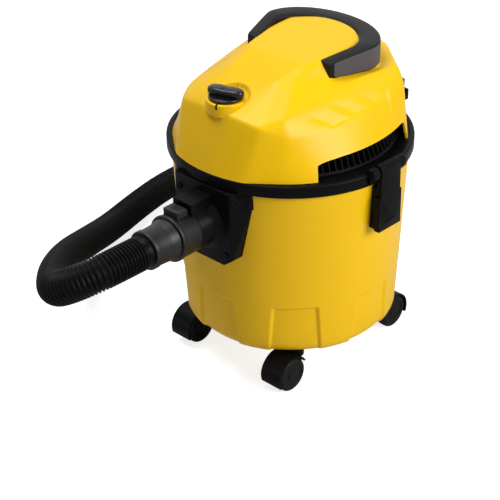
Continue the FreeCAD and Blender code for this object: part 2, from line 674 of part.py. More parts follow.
def cover_rings():
    """The cover's form as rings of corners, front to back on the right half.

    Each ring gives the middle of the front, the front corner, the shoulder corner, a point on
    the side, the rear corner, the back corner and the middle of the back.
    """
    z0, pad = DIMENSIONS["deck_top_z"], DIMENSIONS["pad_z"]
    front, rear = DIMENSIONS["cover_front"], DIMENSIONS["cover_rear"]
    foot = [(0, -front, z0), (55, 10 - front, z0), (90, -109.5, z0), (140, -8, z0), (116, 81, z0),
            (54.5, rear - 11, z0), (0, rear, z0)]
    shoulder = [(0, -126, 356.5), (62, -118, 350), (83.5, -95.5, 340), (109, -4, 343.5),
                (107, 82, 354), (50, 127, 360), (0, 134, 362)]
    crease = [(0, -122.5, 359.5), (61, -114.5, 353), (75.6, -92, 356.8), (84, -12, 370.5),
              (98, 79, 375.5), (48, 119, 376), (0, 127, 376)]
    top = [(0, -66, 380), (35, -63.5, 382), (52, -44, 384.5), (76, 8, 377), (84, 62, 376),
           (52, 103, 378), (0, 115, 379)]
    lid = [(0, -30), (39, -26), (47, -18), (55.5, 20), (54, 62), (30, 81), (0, 87)]
    lid = [(x, y, pad + DIMENSIONS["pad_rise"] * (y + 30)) for x, y in lid]
    return [foot, shoulder, crease, top, lid]


def ring_wire(ring, inset, sink, rise=0.0):
    """A closed wire through a ring's corners and their mirror images, drawn in by inset.

    The rise is the slope of a ring's plane, so that a slanting ring stays flat as it shrinks.
    """
    def at(i, side=1):
        x, y, z = ring[i]
        length = math.hypot(x, y)
        share = (length - inset) / length
        return V(side * x * share, y * share, z - sink + rise * y * (share - 1))

    def arc(a, b, c):
        return Part.Arc(a, b, c).toShape()

    edges = [arc(at(1, -1), at(0), at(1)), Part.LineSegment(at(1), at(2)).toShape(),
             arc(at(2), at(3), at(4)), Part.LineSegment(at(4), at(5)).toShape(),
             arc(at(5), at(6), at(5, -1)), Part.LineSegment(at(5, -1), at(4, -1)).toShape(),
             arc(at(4, -1), at(3, -1), at(2, -1)), Part.LineSegment(at(2, -1), at(1, -1)).toShape()]
    return Part.Wire(edges)


def cover_grooves():
    """Three slanting grooves and an upright one in each side of the cover, cut into its skin."""
    lines = [((93.3, -2.9, 362.1), (110.9, 26.5, 346.7)), ((88.7, -33.9, 359.0), (109.6, -3.8, 342.5)),
             ((84.2, -66.1, 353.9), (104.8, -38.1, 338.1)), ((103.1, 44.3, 359.7), (117.9, 44.1, 330.6))]
    grooves = []
    for side in (1, -1):
        for i, (start, end) in enumerate(lines):
            begin = V(side * start[0], start[1], start[2])
            along = V(side * end[0], end[1], end[2]) - begin
            length = along.Length
            along.normalize()
            up = V(side * 0.6, 0, 0.8)
            across = up.cross(along).normalize()
            up = along.cross(across)
            groove = doc.addObject("Part::Box", f"groove_{'r' if side > 0 else 'l'}{i}")
            bind(groove, "Length", as_size(length))
            bind(groove, "Width", s.groove_width)
            bind(groove, "Height", as_size(10))
            groove.Placement = FreeCAD.Placement(FreeCAD.Matrix(
                along.x, across.x, up.x, 0, along.y, across.y, up.y, 0,
                along.z, across.z, up.z, 0, 0, 0, 0, 1))
            put(groove, *(begin[k] - across[k] * s.groove_width / 2 - up[k] * s.groove_depth
                          for k in range(3)))
            grooves.append(groove)
    return grooves


def make_cover():
    """The yellow head cover: a shell over the foot ring, the shoulders and the flat pad."""
    wall = DIMENSIONS["cover_wall"]
    rings = cover_rings()
    outer = feature("cover_outer", Part.makeLoft([ring_wire(r, 0, 0) for r in rings], True, True))
    sinks = [1.0, wall * 0.3, wall * 0.8, wall, wall]
    rises = [0.0] * 4 + [DIMENSIONS["pad_rise"]]
    inner = feature("cover_inner", Part.makeLoft(
        [ring_wire(r, wall, sink, rise) for r, sink, rise in zip(rings, sinks, rises)], True, True))

    y, top = -s.pedestal_y, s.pedestal_top_z
    recess = post("switch_recess", s.recess_radius, 0, y, top, top + 40)
    pedestal = post("pedestal", s.pedestal_radius, 0, y, top - s.pedestal_tall, top)
    finger = box("finger_recess", -s.finger_half, s.finger_half, s.finger_front, 140,
                 s.finger_foot_z, s.handle_foot_z)
    stem_hole = post("knob_hole", s.knob_stem + 0.3, 0, y, top - 10, top + 1)
    full = fuse("cover_full", cut("cover_recessed", outer, recess), pedestal)

    w = s.cover_wall
    recess_back = post("recess_back", s.recess_radius + w, 0, y, top - w, top + 40)
    pedestal_room = post("pedestal_room", s.pedestal_radius - w, 0, y,
                         top - s.pedestal_tall + w, top - w)
    finger_back = box("finger_back", -s.finger_half - w, s.finger_half + w,
                      s.finger_front - w, 145, s.finger_foot_z - w, s.handle_foot_z + 30)
    room = fuse("cover_room", cut("cover_clear", inner, recess_back, finger_back), pedestal_room)

    vent_front, vent_rear, vent_top = s.vent_front, s.vent_rear, s.vent_top_z
    side_vent = extrude("side_vent", "YZ_Plane",
                        [(-vent_front, s.deck_top_z - 1), (1.5 - vent_front, vent_top - 12.5),
                         (6.5 - vent_front, vent_top - 8), (15 - vent_front, vent_top - 5),
                         (38.5 - vent_front, vent_top - 3.2), (13, vent_top - 1.5),
                         (vent_rear - 12, vent_top), (vent_rear - 5, vent_top - 4),
                         (vent_rear, s.deck_top_z - 1)], -s.rim_radius - 5, s.rim_radius + 5)
    shell = cut("cover_shell", full, room, finger, side_vent, stem_hole, *cover_grooves())

    posts = []
    for i, (angle, (x, y)) in enumerate(zip(POST_ANGLES, post_places())):
        posts.append(post(f"cover_post_{i}", s.post_radius, x, y, s.deck_top_z, s.post_top_z))
        arm = box(f"cover_web_{i}", 0, s.cover_rear - s.post_circle, -1.5, 1.5, 0,
                  s.post_top_z - s.deck_top_z)
        arm.Placement.Rotation = FreeCAD.Rotation(Z_AXIS, angle)
        put(arm, x, y, s.deck_top_z)
        posts.append(arm)
    webs = common("cover_posts", fuse("cover_post_group", *posts), outer)
    pilot = [post(f"cover_pilot_{i}", s.screw_radius, x, y, s.deck_top_z - 1,
                  s.deck_top_z + 14) for i, (x, y) in enumerate(post_places())]
    handle_room = fuse("handle_room", handle_plan("handle_way"),
                       grip_band("grip_way", -s.grip_sink * 2, s.grip_proud + s.grip_gap,
                                 s.grip_gap))
    cord_way = rod_y("cord_way", s.gland_bore, 0, 115, s.rear_reach, s.gland_z)
    return node(cut("cover_form", fuse("cover_whole", shell, webs), handle_room, cord_way,
                    *pilot), "head_cover")


def oval(name, half, deep, mid, foot, top):
    """An upright oval disc whose centre lies at y = mid."""
    ring = doc.addObject("Part::Ellipse", name + "_ring")
    bind(ring, "MajorRadius", half)
    bind(ring, "MinorRadius", deep)
    put(ring, 0, mid, foot)
    disc = doc.addObject("Part::Extrusion", name)
    disc.Base, disc.Dir, disc.DirMode, disc.Solid = ring, Z_AXIS, "Custom", True
    bind(disc, "LengthFwd", as_size(top) - as_size(foot))
    return disc


def handle_slab(name, grown, setback, foot, top):
    """A slab of the handle's outline, grown outward and set back at the arms' ends."""
    mid, front = s.handle_centre, setback - s.handle_front
    half, deep = s.handle_half + grown, s.handle_deep + grown
    spread = (s.handle_half - s.handle_front_half) / (mid + s.handle_front)
    end = s.handle_front_half + grown + spread * setback
    rear = cut(name + "_rear", oval(name + "_oval", half, deep, mid, foot, top),
               box(name + "_ahead", -half - 1, half + 1, mid - deep - 1, mid, foot - 1, top + 1))
    return fuse(name, rear,
                extrude(name + "_arms", "XY_Plane",
                        [(-half, mid), (-end, front), (end, front), (half, mid)], foot, top))


def handle_plan(name):
    """The U of the carry handle, open to the front, its arms drawing together there."""
    inner, mid, front = s.handle_inner, s.handle_inner_centre, -s.handle_front - 1
    foot, top, end = s.handle_foot_z, s.handle_top_z, s.handle_front_inner
    gap = fuse(name + "_gap", oval(name + "_gap_oval", inner, s.handle_inner_deep, mid, foot - 1,
                                   top + 1),
               extrude(name + "_gap_arms", "XY_Plane",
                       [(-inner, mid), (-end, front), (end, front), (inner, mid)],
                       foot - 1, top + 1))
    return cut(name, handle_slab(name + "_solid", as_size(0), as_size(0), foot, top), gap)


def grip_band(name, sunk, proud, gap):
    """The band along the arms' outer faces that the grips fill, its top following the arms."""
    setback, rear = s.grip_setback - gap, s.grip_rear + gap
    foot, top = s.grip_foot_z - gap, s.handle_top_z - s.grip_edge + gap
    mid, front = s.handle_centre, setback - s.handle_front
    slope = (s.handle_top_z - s.handle_front_top_z) / (mid + s.handle_front + 1)
    ring = cut(name + "_ring", handle_slab(name + "_outer", proud, setback, foot - 1, top + 1),
               handle_slab(name + "_inner", sunk, setback - 1, foot - 2, top + 2))
    side = extrude(name + "_side", "YZ_Plane",
                   [(front, foot + s.grip_corner), (front + s.grip_corner, foot), (rear, foot),
                    (rear, top), (mid, top), (front, top - slope * (mid - front))],
                   -s.rim_radius, s.rim_radius)
    return common(name, ring, side)


def make_handle():
    """The carry handle, its arms sloping down to the front, and the grey grips in its sides."""
    mid, front, reach = s.handle_centre, -s.handle_front - 1, s.handle_half + 5
    slope = extrude("handle_slope", "YZ_Plane",
                    [(front, s.handle_front_top_z), (mid, s.handle_top_z),
                     (mid, s.handle_top_z + 1), (front, s.handle_top_z + 1)], -reach, reach)
    node(grip_band("grips", -s.grip_sink, s.grip_proud, as_size(0)), "handle_grips")
    node(cut("handle_body", handle_plan("handle"), slope,
             grip_band("grip_bed", -s.grip_sink, s.grip_proud + 2, as_size(0))),
         "carry_handle")


def make_grilles():
    """The slotted vents behind the cover's side cut-outs, sloped like the cover's sides."""
    z0, z1, rail = s.deck_top_z, s.grille_top_z, s.grille_rail
    wide, narrow, thick = s.grille_foot_radius, s.grille_top_radius, s.grille_thick
    count, step = DIMENSIONS["slot_count"], DIMENSIONS["slot_step"]
    first = -(count - 1) / 2 * step - 3
    for side, name in ((1, "right"), (-1, "left")):
        ring = revolve(f"grille_cone_{name}", [(wide - thick, z0), (wide, z0), (narrow, z1),
                                               (narrow - thick, z1)])
        near, far = (60, 160) if side > 0 else (-160, -60)
        window = box(f"grille_window_{name}", near, far, -s.grille_front, s.grille_rear, z0 - 1,
                     z1 + 1)
        slots = []
        start = narrow - thick - 4
        for i in range(count):
            angle = first + i * step
            turn = angle if side > 0 else 180 - angle
            slot = box(f"grille_slot_{name}_{i}", 0, wide - start + 4, 0, s.slot_width, z0 + rail,
                       z1 - rail)
            slot.Placement.Rotation = FreeCAD.Rotation(Z_AXIS, turn)
            cos, sin = math.cos(math.radians(turn)), math.sin(math.radians(turn))
            put(slot, start * cos + s.slot_width / 2 * sin, start * sin - s.slot_width / 2 * cos,
                z0 + rail)
            slots.append(slot)
        node(cut(f"grille_{name}", common(f"grille_part_{name}", ring, window), *slots),
             f"vent_grille_{name}")


def make_latches():
    """The side latches: a face, two side walls, a barrel on the pin and a hook rib."""
    face, wall = s.latch_face, s.latch_wall
    for side, name in ((1, "right"), (-1, "left")):
        def block(part, x0, x1, half, z0, z1, half0=None):
            a, b = (x0, x1) if side > 0 else (-as_size(x1), -as_size(x0))
            return box(f"latch_{part}_{name}", a, b, -half, half, z0, z1)

        half, wide = s.latch_half, s.latch_wide_half
        parts = [block("face", face - wall, face, half, s.latch_foot_z, s.latch_pin_z),
                 block("wide", s.rim_radius + s.rim_clear, face, wide, s.latch_foot_z,
                       s.latch_wide_z),
                 block("neck", s.rim_radius + s.rim_clear, face, half, s.latch_wide_z - 1,
                       s.latch_pin_z),
                 block("deep", s.latch_back, face, half, s.latch_foot_z, s.rim_foot_z - 6),
                 block("grip", face, face + 1, as_size(8), s.latch_foot_z + 9,
                       s.latch_foot_z + 11)]
        barrel = rod_y(f"latch_barrel_{name}", s.latch_barrel, s.latch_pin_x * side, -half, half,
                       s.latch_pin_z)
        room = block("room", s.latch_back - 1, face - wall, half - wall, s.latch_foot_z - 1,
                     s.latch_pin_z - s.latch_barrel - 1.5)
        rib = block("rib", s.catch_nose + 0.7, face - wall + 0.5, s.catch_half,
                    s.latch_foot_z + 5, s.catch_foot_z - 2)
        bore = rod_y(f"latch_bore_{name}", s.latch_pin_radius + s.pin_clear,
                     s.latch_pin_x * side, -half - 1, half + 1, s.latch_pin_z)
        shell = cut(f"latch_shell_{name}", fuse(f"latch_skin_{name}", *parts, barrel), room, bore)
        node(fuse(f"latch_{name}_form", shell, rib), f"latch_{name}")
        reach = s.latch_half + s.lug_gap + s.lug_width - 1
        node(rod_y(f"latch_pin_{name}_form", s.latch_pin_radius, s.latch_pin_x * side, -reach,
                   reach, s.latch_pin_z), f"latch_pin_{name}")


def make_motor():
    """Motor housing with four wide air windows, motor, bearings, shaft and fan."""
    wall, top = s.housing_wall, s.housing_top_z
    housing = revolve("housing_skin",
                      [(s.housing_radius - wall, s.deck_top_z), (s.housing_radius, s.deck_top_z),
                       (s.housing_radius, top - 8), (s.housing_radius - 8, top), (0, top),
                       (0, top - wall), (s.housing_radius - 9, top - wall),
                       (s.housing_radius - wall, top - 9)])
    slots = extrude("housing_slot", "XZ_Plane",
                    [(-s.window_half, s.motor_foot_z + 2), (s.window_half, s.motor_foot_z + 2),
                     (s.window_half, top - 14), (-s.window_half, top - 14)], as_size(0),
                    s.housing_radius + 2)
    polar(slots, 4)
    core = post("slot_core", s.housing_radius - wall - 1, 0, 0, s.motor_foot_z, top - 12)
    node(cut("housing", housing, cut("housing_slots", slots, core)), "motor_housing")

    motor_top = top - wall
    bore = s.bearing_radius
    deep = s.bearing_thick
    can = revolve("can_skin",
                  [(bore, s.motor_foot_z), (s.motor_radius, s.motor_foot_z),
                   (s.motor_radius, motor_top), (bore, motor_top), (bore, motor_top - deep),
                   (s.shaft_radius + 1, motor_top - deep), (s.shaft_radius + 1,
                                                            s.motor_foot_z + deep),
                   (bore, s.motor_foot_z + deep)])
    node(can, "motor_can")
    bearings = [tube(f"bearing_{i}", bore, s.shaft_radius + s.shaft_bore_gap, 0, 0, z, z + deep)
                for i, z in enumerate((s.motor_foot_z, motor_top - deep))]
    node(fuse("bearings", *bearings), "motor_bearings")
    shaft = post("shaft_form", s.shaft_radius, 0, 0, s.shaft_foot_z, motor_top - 1)
    node(shaft, "motor_shaft")

    z0, z1 = s.fan_foot_z, s.fan_top_z
    hub = tube("fan_hub", s.shaft_radius + 8, s.shaft_radius, 0, 0, z0, z1)
    disc = tube("fan_disc", s.fan_radius, s.shaft_radius, 0, 0, z1 - 2, z1)
    ring = tube("fan_ring", s.fan_radius, s.fan_radius - 22, 0, 0, z0, z0 + 1.5)
    blades = []
    for i in range(BLADES):
        turn = 360 * i / BLADES
        blade = box(f"blade_{i}", 14, s.fan_radius - 1, -0.9, 0.9, 0, z1 - z0)
        blade.Placement.Rotation = FreeCAD.Rotation(Z_AXIS, turn)
        put(blade, 0, 0, z0)
        reach = math.radians(turn)
        bind(blade, "Placement.Base.x", as_size(10 * math.cos(reach) + 9 * math.sin(reach)))
        put(blade, 6 * math.sin(reach), -6 * math.cos(reach), z0)
        blades.append(blade)
    group = common("blade_part", fuse("blade_group", *blades),
                   tube("blade_room", s.fan_radius, s.shaft_radius + 7, 0, 0, z0, z1))
    node(fuse("fan", hub, disc, ring, group), "fan_impeller")


BLADES = 9


def make_filter_stack():
    """The slotted basket under the head, the foam sleeve round it and the float inside it."""
    top = s.deck_top_z - s.deck_thick
    wall, foot = s.basket_wall, s.basket_foot_z
    skin = revolve("basket_skin",
                   [(0, foot), (s.basket_radius, foot), (s.basket_radius, top - s.basket_flange),
                    (s.basket_radius + 8, top - s.basket_flange), (s.basket_radius + 8, top),
                    (s.basket_radius - wall, top), (s.basket_radius - wall, foot + wall),
                    (0, foot + wall)])
    slot = extrude("basket_slot", "XZ_Plane",
                   [(-7, foot + 12), (7, foot + 12), (7, top - 14), (-7, top - 14)],
                   as_size(0), s.basket_radius + 2)
    polar(slot, s.basket_slots)
    core = post("basket_core", s.basket_radius - wall - 1, 0, 0, foot + 10, top - 12)
    node(cut("basket", skin, cut("basket_slots_form", slot, core)), "filter_basket")
    node(tube("foam", s.foam_radius, s.basket_radius + s.foam_gap, 0, 0, s.foam_foot_z,
              top - s.basket_flange - s.foam_gap), "foam_filter")
    rest = foot + wall + s.float_rest
    cup = revolve("float_skin",
                  [(0, rest), (s.float_radius - 4, rest), (s.float_radius, rest + 4),
                   (s.float_radius, rest + s.float_height - 4),
                   (s.float_radius - 4, rest + s.float_height), (0, rest + s.float_height)])
    node(cup, "float_valve")


def make_switch():
    """The rotary knob on its pedestal and the switch block under it."""
    y, foot = -s.pedestal_y, s.pedestal_top_z + s.knob_lift
    half, width, thick = s.knob_half, s.knob_width, s.knob_thick
    bar = extrude("knob_bar", "XY_Plane",
                  [(-half, -width * 0.28), (-half * 0.75, -width * 0.5),
                   (half * 0.75, -width * 0.5), (half, -width * 0.28), (half, width * 0.28),
                   (half * 0.75, width * 0.5), (-half * 0.75, width * 0.5),
                   (-half, width * 0.28)], foot + 3, foot + thick)
    bar.Placement.Rotation = FreeCAD.Rotation(Z_AXIS, DIMENSIONS["knob_rest"])
    put(bar, 0, y, 0)
    disc = post("knob_disc", s.pedestal_radius - 3, 0, y, foot, foot + 4)
    stem = post("knob_stem_rod", s.knob_stem, 0, y, s.pedestal_top_z - s.switch_height + 6,
                foot + 1)
    node(fuse("knob", bar, disc, stem), "switch_knob")
    h = s.switch_half
    top = s.pedestal_top_z - s.cover_wall
    block = cut("switch_block", box("switch_skin", -h, h, y - h + 1, y + h - 2,
                                    top - s.switch_height, top),
                post("switch_bore", s.knob_stem + 0.3, 0, y, top - s.switch_height + 3, top + 1))
    node(block, "switch_body")


def make_rear(cover_outer):
    """Cable hooks and the cord gland on the back of the head."""
    x, h, z, reach = s.hook_x, s.hook_half, s.hook_z, s.rear_reach
    hooks = []
    for i, side in enumerate((1, -1)):
        a, b = (x - h, x + h) if side > 0 else (-x - h, -x + h)
        parts = [box(f"hook_arm_{i}", a, b, 105, reach - 2, z, z + 6),
                 box(f"hook_lip_{i}", a, b, reach - 6, reach - 2, z, z + 14),
                 box(f"hook_foot_{i}", a - 2, b + 2, 105, reach - 13, z - 2, z + 32)]
        hooks.append(fuse(f"hook_{i}", *parts))
    node(cut("hooks", fuse("hook_pair", *hooks), cover_outer), "cable_hooks")
    gland = cut("gland", rod_y("gland_skin", s.gland_radius, 0, 130, reach, s.gland_z),
                cover_outer, rod_y("gland_hole", s.gland_bore, 0, 125, reach + 1, s.gland_z))
    node(gland, "cord_gland")


def make_cover_screws():
    """Screws from under the deck into the cover's posts."""
    screws = []
    head_z = s.deck_top_z - s.deck_thick
    for i, (x, y) in enumerate(post_places()):
        screws.append(fuse(f"cover_screw_{i}",
                           post(f"screw_head_{i}", s.screw_head, x, y, head_z - 2.5, head_z),
                           post(f"screw_shank_{i}", s.screw_radius, x, y, head_z - 1,
                                s.deck_top_z + 13)))
    node(fuse("cover_screw_group", *screws), "cover_screws")


def make_casters():
    """Four swivel casters: fork with hood, stem, twin wheels and axle."""
    r = s.wheel_radius
    for (x, y), name, out in zip(caster_pivots(), ("front_left", "front_right", "rear_left",
                                                   "rear_right"), (-1, -1, 1, 1)):
        wy = y + s.caster_trail * out
        hood_half, web = s.hood_half, s.web_half
        ring = cut(f"hood_{name}",
                   rod_x(f"hood_skin_{name}", s.hood_radius, x - hood_half, x + hood_half, wy, r),
                   rod_x(f"hood_room_{name}", s.hood_inner, x - hood_half - 1,
                         x + hood_half + 1, wy, r),
                   box(f"hood_low_{name}", x - 20, x + 20, wy - 30, wy + 30, as_size(-10), r - 9))
        inner = box(f"hood_back_{name}", x - 20, x + 20, wy - 30 if out > 0 else wy + 4,
                    wy - 4 if out > 0 else wy + 30, as_size(-10), r + 12)
        hood = cut(f"hood_cut_{name}", ring, inner)
        edge = y - 8 * out
        y0, y1 = (edge, wy + 10) if out > 0 else (wy - 10, edge)
        plate = box(f"web_{name}", x - web, x + web, y0, y1, r - 5, r + s.hood_inner)
        boss = rod_x(f"web_boss_{name}", s.axle_radius + 8, x - web, x + web, wy, r)
        hub_top = s.tank_foot_z - s.hub_gap
        hub = post(f"hub_{name}", s.hub_radius, x, y, r + s.hood_inner - 6, hub_top)
        wheel_room = fuse(f"wheel_room_{name}",
                          rod_x(f"room_a_{name}", s.hood_inner, x - hood_half - 1,
                                x - web, wy, r),
                          rod_x(f"room_b_{name}", s.hood_inner, x + web, x + hood_half + 1,
                                wy, r))
        fork = cut(f"fork_{name}",
                   fuse(f"fork_skin_{name}", hood, plate, boss, hub), wheel_room,
                   rod_x(f"axle_hole_{name}", s.axle_radius + s.shaft_bore_gap, x - 20, x + 20,
                         wy, r),
                   post(f"stem_seat_{name}", s.stem_radius, x, y, hub_top - 8, hub_top + 1))
        node(fork, f"caster_fork_{name}")
        node(post(f"stem_{name}", s.stem_radius, x, y, hub_top - 8, s.stem_top_z),
             f"caster_stem_{name}")
        wheels = []
        gap = web + s.web_gap
        for i, (a, b) in enumerate(((x - gap - s.wheel_width, x - gap),
                                    (x + gap, x + gap + s.wheel_width))):
            tyre = rod_x(f"tyre_{name}_{i}", r, a, b, wy, r)
            wheels.append(cut(f"wheel_{name}_{i}", tyre,
                              rod_x(f"wheel_bore_{name}_{i}", s.axle_radius, a - 1, b + 1,
                                    wy, r)))
        node(fuse(f"wheels_{name}", *wheels), f"caster_wheels_{name}")
        node(rod_x(f"axle_{name}", s.axle_radius, x - gap - s.wheel_width + 1,
                   x + gap + s.wheel_width - 1, wy, r), f"caster_axle_{name}")


def check_and_export():
    """Stops on any failed object or shape, then writes each piece to its own file."""
    doc.recompute()
    for obj in doc.Objects:
        if "Invalid" in obj.State or "Error" in obj.State:
            raise RuntimeError(f"{obj.Name} is {obj.State}")
    os.makedirs("parts", exist_ok=True)
    for label, obj in nodes.items():
        shape = obj.Shape
        if shape.isNull() or not shape.isValid() or not shape.Solids:
            raise RuntimeError(f"{label} has no valid solid")
    for label, obj in nodes.items():
        obj.Shape.exportStep(f"parts/{label}.step")
    print(len(nodes), "pieces written")


tank, drum_skin, drum_inside = make_tank()
make_inlet(drum_skin)
make_bag()
make_sockets(drum_inside)
make_catches(drum_skin)
make_connector()
make_hose()
make_end_cuff()
make_head_base()
make_rim_seal()
make_cover()
make_handle()
make_grilles()
make_latches()
make_motor()
make_filter_stack()
make_switch()
make_rear(doc.getObject("cover_outer"))
make_cover_screws()
make_casters()
check_and_export()
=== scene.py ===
"""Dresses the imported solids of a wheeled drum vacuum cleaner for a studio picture.

Shapes are worked out in millimetres in the drum's own frame: the drum's axis is upright through
the origin, the hose leaves towards -Y and the latches sit on +X and -X. in_place() turns such
points into metres in the machine's frame.
"""

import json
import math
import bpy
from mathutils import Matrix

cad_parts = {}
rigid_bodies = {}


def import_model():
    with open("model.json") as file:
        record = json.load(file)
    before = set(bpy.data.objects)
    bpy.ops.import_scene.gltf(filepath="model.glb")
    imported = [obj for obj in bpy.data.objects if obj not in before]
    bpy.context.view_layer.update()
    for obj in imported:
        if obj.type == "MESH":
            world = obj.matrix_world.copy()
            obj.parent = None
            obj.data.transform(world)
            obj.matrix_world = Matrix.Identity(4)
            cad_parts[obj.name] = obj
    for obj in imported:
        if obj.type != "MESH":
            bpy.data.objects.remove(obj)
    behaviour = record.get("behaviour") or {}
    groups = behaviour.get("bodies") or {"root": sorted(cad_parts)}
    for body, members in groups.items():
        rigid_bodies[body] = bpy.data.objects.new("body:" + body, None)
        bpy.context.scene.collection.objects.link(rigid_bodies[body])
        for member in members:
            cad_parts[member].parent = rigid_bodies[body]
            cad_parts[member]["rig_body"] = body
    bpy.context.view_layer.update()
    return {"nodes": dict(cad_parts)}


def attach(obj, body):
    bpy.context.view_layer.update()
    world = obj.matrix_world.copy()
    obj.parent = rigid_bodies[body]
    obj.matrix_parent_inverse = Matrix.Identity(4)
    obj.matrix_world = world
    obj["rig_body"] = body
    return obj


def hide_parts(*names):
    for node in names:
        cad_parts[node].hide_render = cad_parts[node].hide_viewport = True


bl_info = {
    "name": "Wheeled drum vacuum cleaner",
    "version": (1, 0, 0),
    "blender": (4, 5, 0),
    "location": "View3D > Sidebar > Vacuum",
    "description": "Dresses the packed solids of a wheeled drum vacuum cleaner",
    "category": "Object",
}

import bmesh
import bpy
import numpy as np
from bpy.props import FloatProperty, FloatVectorProperty, IntProperty, PointerProperty
from mathutils import Matrix

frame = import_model()

AXIS_Y = 16.0  # the drum's axis lies this far behind the middle of the machine's box
TAU = 2 * math.pi

# heights and radii that several pieces share
RIM_R, RIM_FOOT, DECK = 149.0, 273.5, 288.5
TANK_FOOT, TANK_MOUTH, TANK_TOP = 49.0, 273.0, 279.0
INLET_Z = 223.5
HEIGHT = 403.0  # of the handle's top
PAD, PAD_RISE = 392.5, 0.078  # the lid's height at its front edge, and its slope
FRONT, REAR = 148.0, 145.0
PEDESTAL_Y, PEDESTAL_TOP = -108.0, 367.0
CASTERS = {"front_left": (-78, -76, -1), "front_right": (78, -76, -1),
           "rear_left": (-78, 76, 1), "rear_right": (78, 76, 1)}

# The hose's route out of its cuff, round the fold, down to the floor and back past the machine.
HOSE_ROUTE = [
    (0.0, -243.0, 223.5), (0.0, -296.0, 223.5), (-11.1, -317.9, 216.4), (-30.1, -329.8, 204.4),
    (-51.6, -328.5, 190.7), (-88.0, -306.0, 171.0), (-152.0, -252.0, 140.0),
    (-218.0, -180.0, 103.0), (-278.0, -98.0, 62.0), (-330.0, -14.0, 27.5), (-358.0, 62.0, 20.8),
    (-372.0, 128.0, 20.8), (-374.0, 192.0, 20.8), (-350.0, 258.0, 20.8), (-300.0, 309.0, 20.8),
    (-240.0, 326.0, 20.8), (-166.0, 326.0, 20.8),
]


# ---------------------------------------------------------------------------------------------
# sizes and colours that a user would change


class MachineSizes(bpy.types.PropertyGroup):
    """Sizes of the pieces that the scene makes finer than the solids."""

    hose_width: FloatProperty(name="Hose width", description="Over the crests of the ribs",
                              default=0.0408, unit="LENGTH")
    hose_ribs: IntProperty(name="Hose ribs", description="Ribs along the hose", default=248)
    rib_depth: FloatProperty(name="Rib depth", description="From a crest down to a valley",
                             default=0.0019, unit="LENGTH")
    bay_depth: FloatProperty(name="Bay depth", description="Depth of the bays round the tank's foot",
                             default=0.003, unit="LENGTH")
    skin_wall: FloatProperty(name="Cover wall", description="Wall of the head's cover",
                             default=0.0026, unit="LENGTH")
    groove_depth: FloatProperty(name="Groove depth", description="Depth of the cover's steps",
                                default=0.0018, unit="LENGTH")


class MachineColours(bpy.types.PropertyGroup):
    """Colours of the mouldings, as linear light."""

    yellow: FloatVectorProperty(name="Yellow", description="Tank and head cover", size=3,
                                subtype="COLOR", default=(0.92, 0.55, 0.003))
    black: FloatVectorProperty(name="Black", description="Rim, inlet, latches and casters", size=3,
                               subtype="COLOR", default=(0.0036, 0.0034, 0.0037))
    handle: FloatVectorProperty(name="Handle", description="Carry handle", size=3,
                                subtype="COLOR", default=(0.013, 0.012, 0.0125))
    grip: FloatVectorProperty(name="Grip", description="Inset panels of the handle", size=3,
                              subtype="COLOR", default=(0.088, 0.080, 0.085))
    rubber: FloatVectorProperty(name="Rubber", description="Tyres and seals", size=3,
                                subtype="COLOR", default=(0.0065, 0.0064, 0.0066))


# ---------------------------------------------------------------------------------------------
# points and meshes


def in_place(points):
    """Points of the drum's frame in millimetres, as metres in the machine's frame."""
    return (np.asarray(points, float) + (0.0, AXIS_Y, 0.0)) * 0.001


def ease(low, high, value):
    """Goes from 0 at low to 1 at high along 3t^2 - 2t^3."""
    t = np.clip((np.asarray(value, float) - low) / (high - low), 0, 1)
    return t * t * (3 - 2 * t)


def soften(corners, radius, closed=True, steps=5):
    """Rounds a line's corners.

    A corner C gives way to (1-t)^2 A + 2t(1-t) C + t^2 B. A and B lie on its two sides, as far
    from it as a circle of the radius would touch them, or 0.48 of the shorter side.
    """
    corners = np.asarray(corners, float)
    radius = np.broadcast_to(np.asarray(radius, float), len(corners)).copy()
    back, ahead = np.roll(corners, 1, 0) - corners, np.roll(corners, -1, 0) - corners
    back_long, ahead_long = np.linalg.norm(back, axis=1), np.linalg.norm(ahead, axis=1)
    back, ahead = back / back_long[:, None], ahead / ahead_long[:, None]
    half = np.arccos(np.clip((back * ahead).sum(1), -0.9999, 0.9999)) / 2
    reach = np.minimum(radius / np.tan(half), 0.48 * np.minimum(back_long, ahead_long))
    if not closed:
        reach[[0, -1]] = 0
    t = np.linspace(0, 1, steps)[None, :, None]
    start, end = corners + back * reach[:, None], corners + ahead * reach[:, None]
    line = ((1 - t) ** 2 * start[:, None] + 2 * t * (1 - t) * corners[:, None]
            + t ** 2 * end[:, None])
    kept = np.ones(line.shape[:2], bool)
    kept[reach < 1e-6, 1:] = False
    return line[kept]


def finer(line, step, closed=False):
    """The same line with points at most about a step apart, its corners kept."""
    line = np.asarray(line, float)
    ends = np.roll(line, -1, 0) if closed else line[1:]
    starts = line if closed else line[:-1]
    parts = np.maximum(np.ceil(np.linalg.norm(ends - starts, axis=1) / step).astype(int), 1)
    which = np.repeat(np.arange(len(parts)), parts)
    share = (np.arange(parts.sum()) - np.repeat(np.cumsum(parts) - parts, parts)) / parts[which]
    made = starts[which] + (ends - starts)[which] * share[:, None]
    return made if closed else np.vstack([made, line[-1:]])


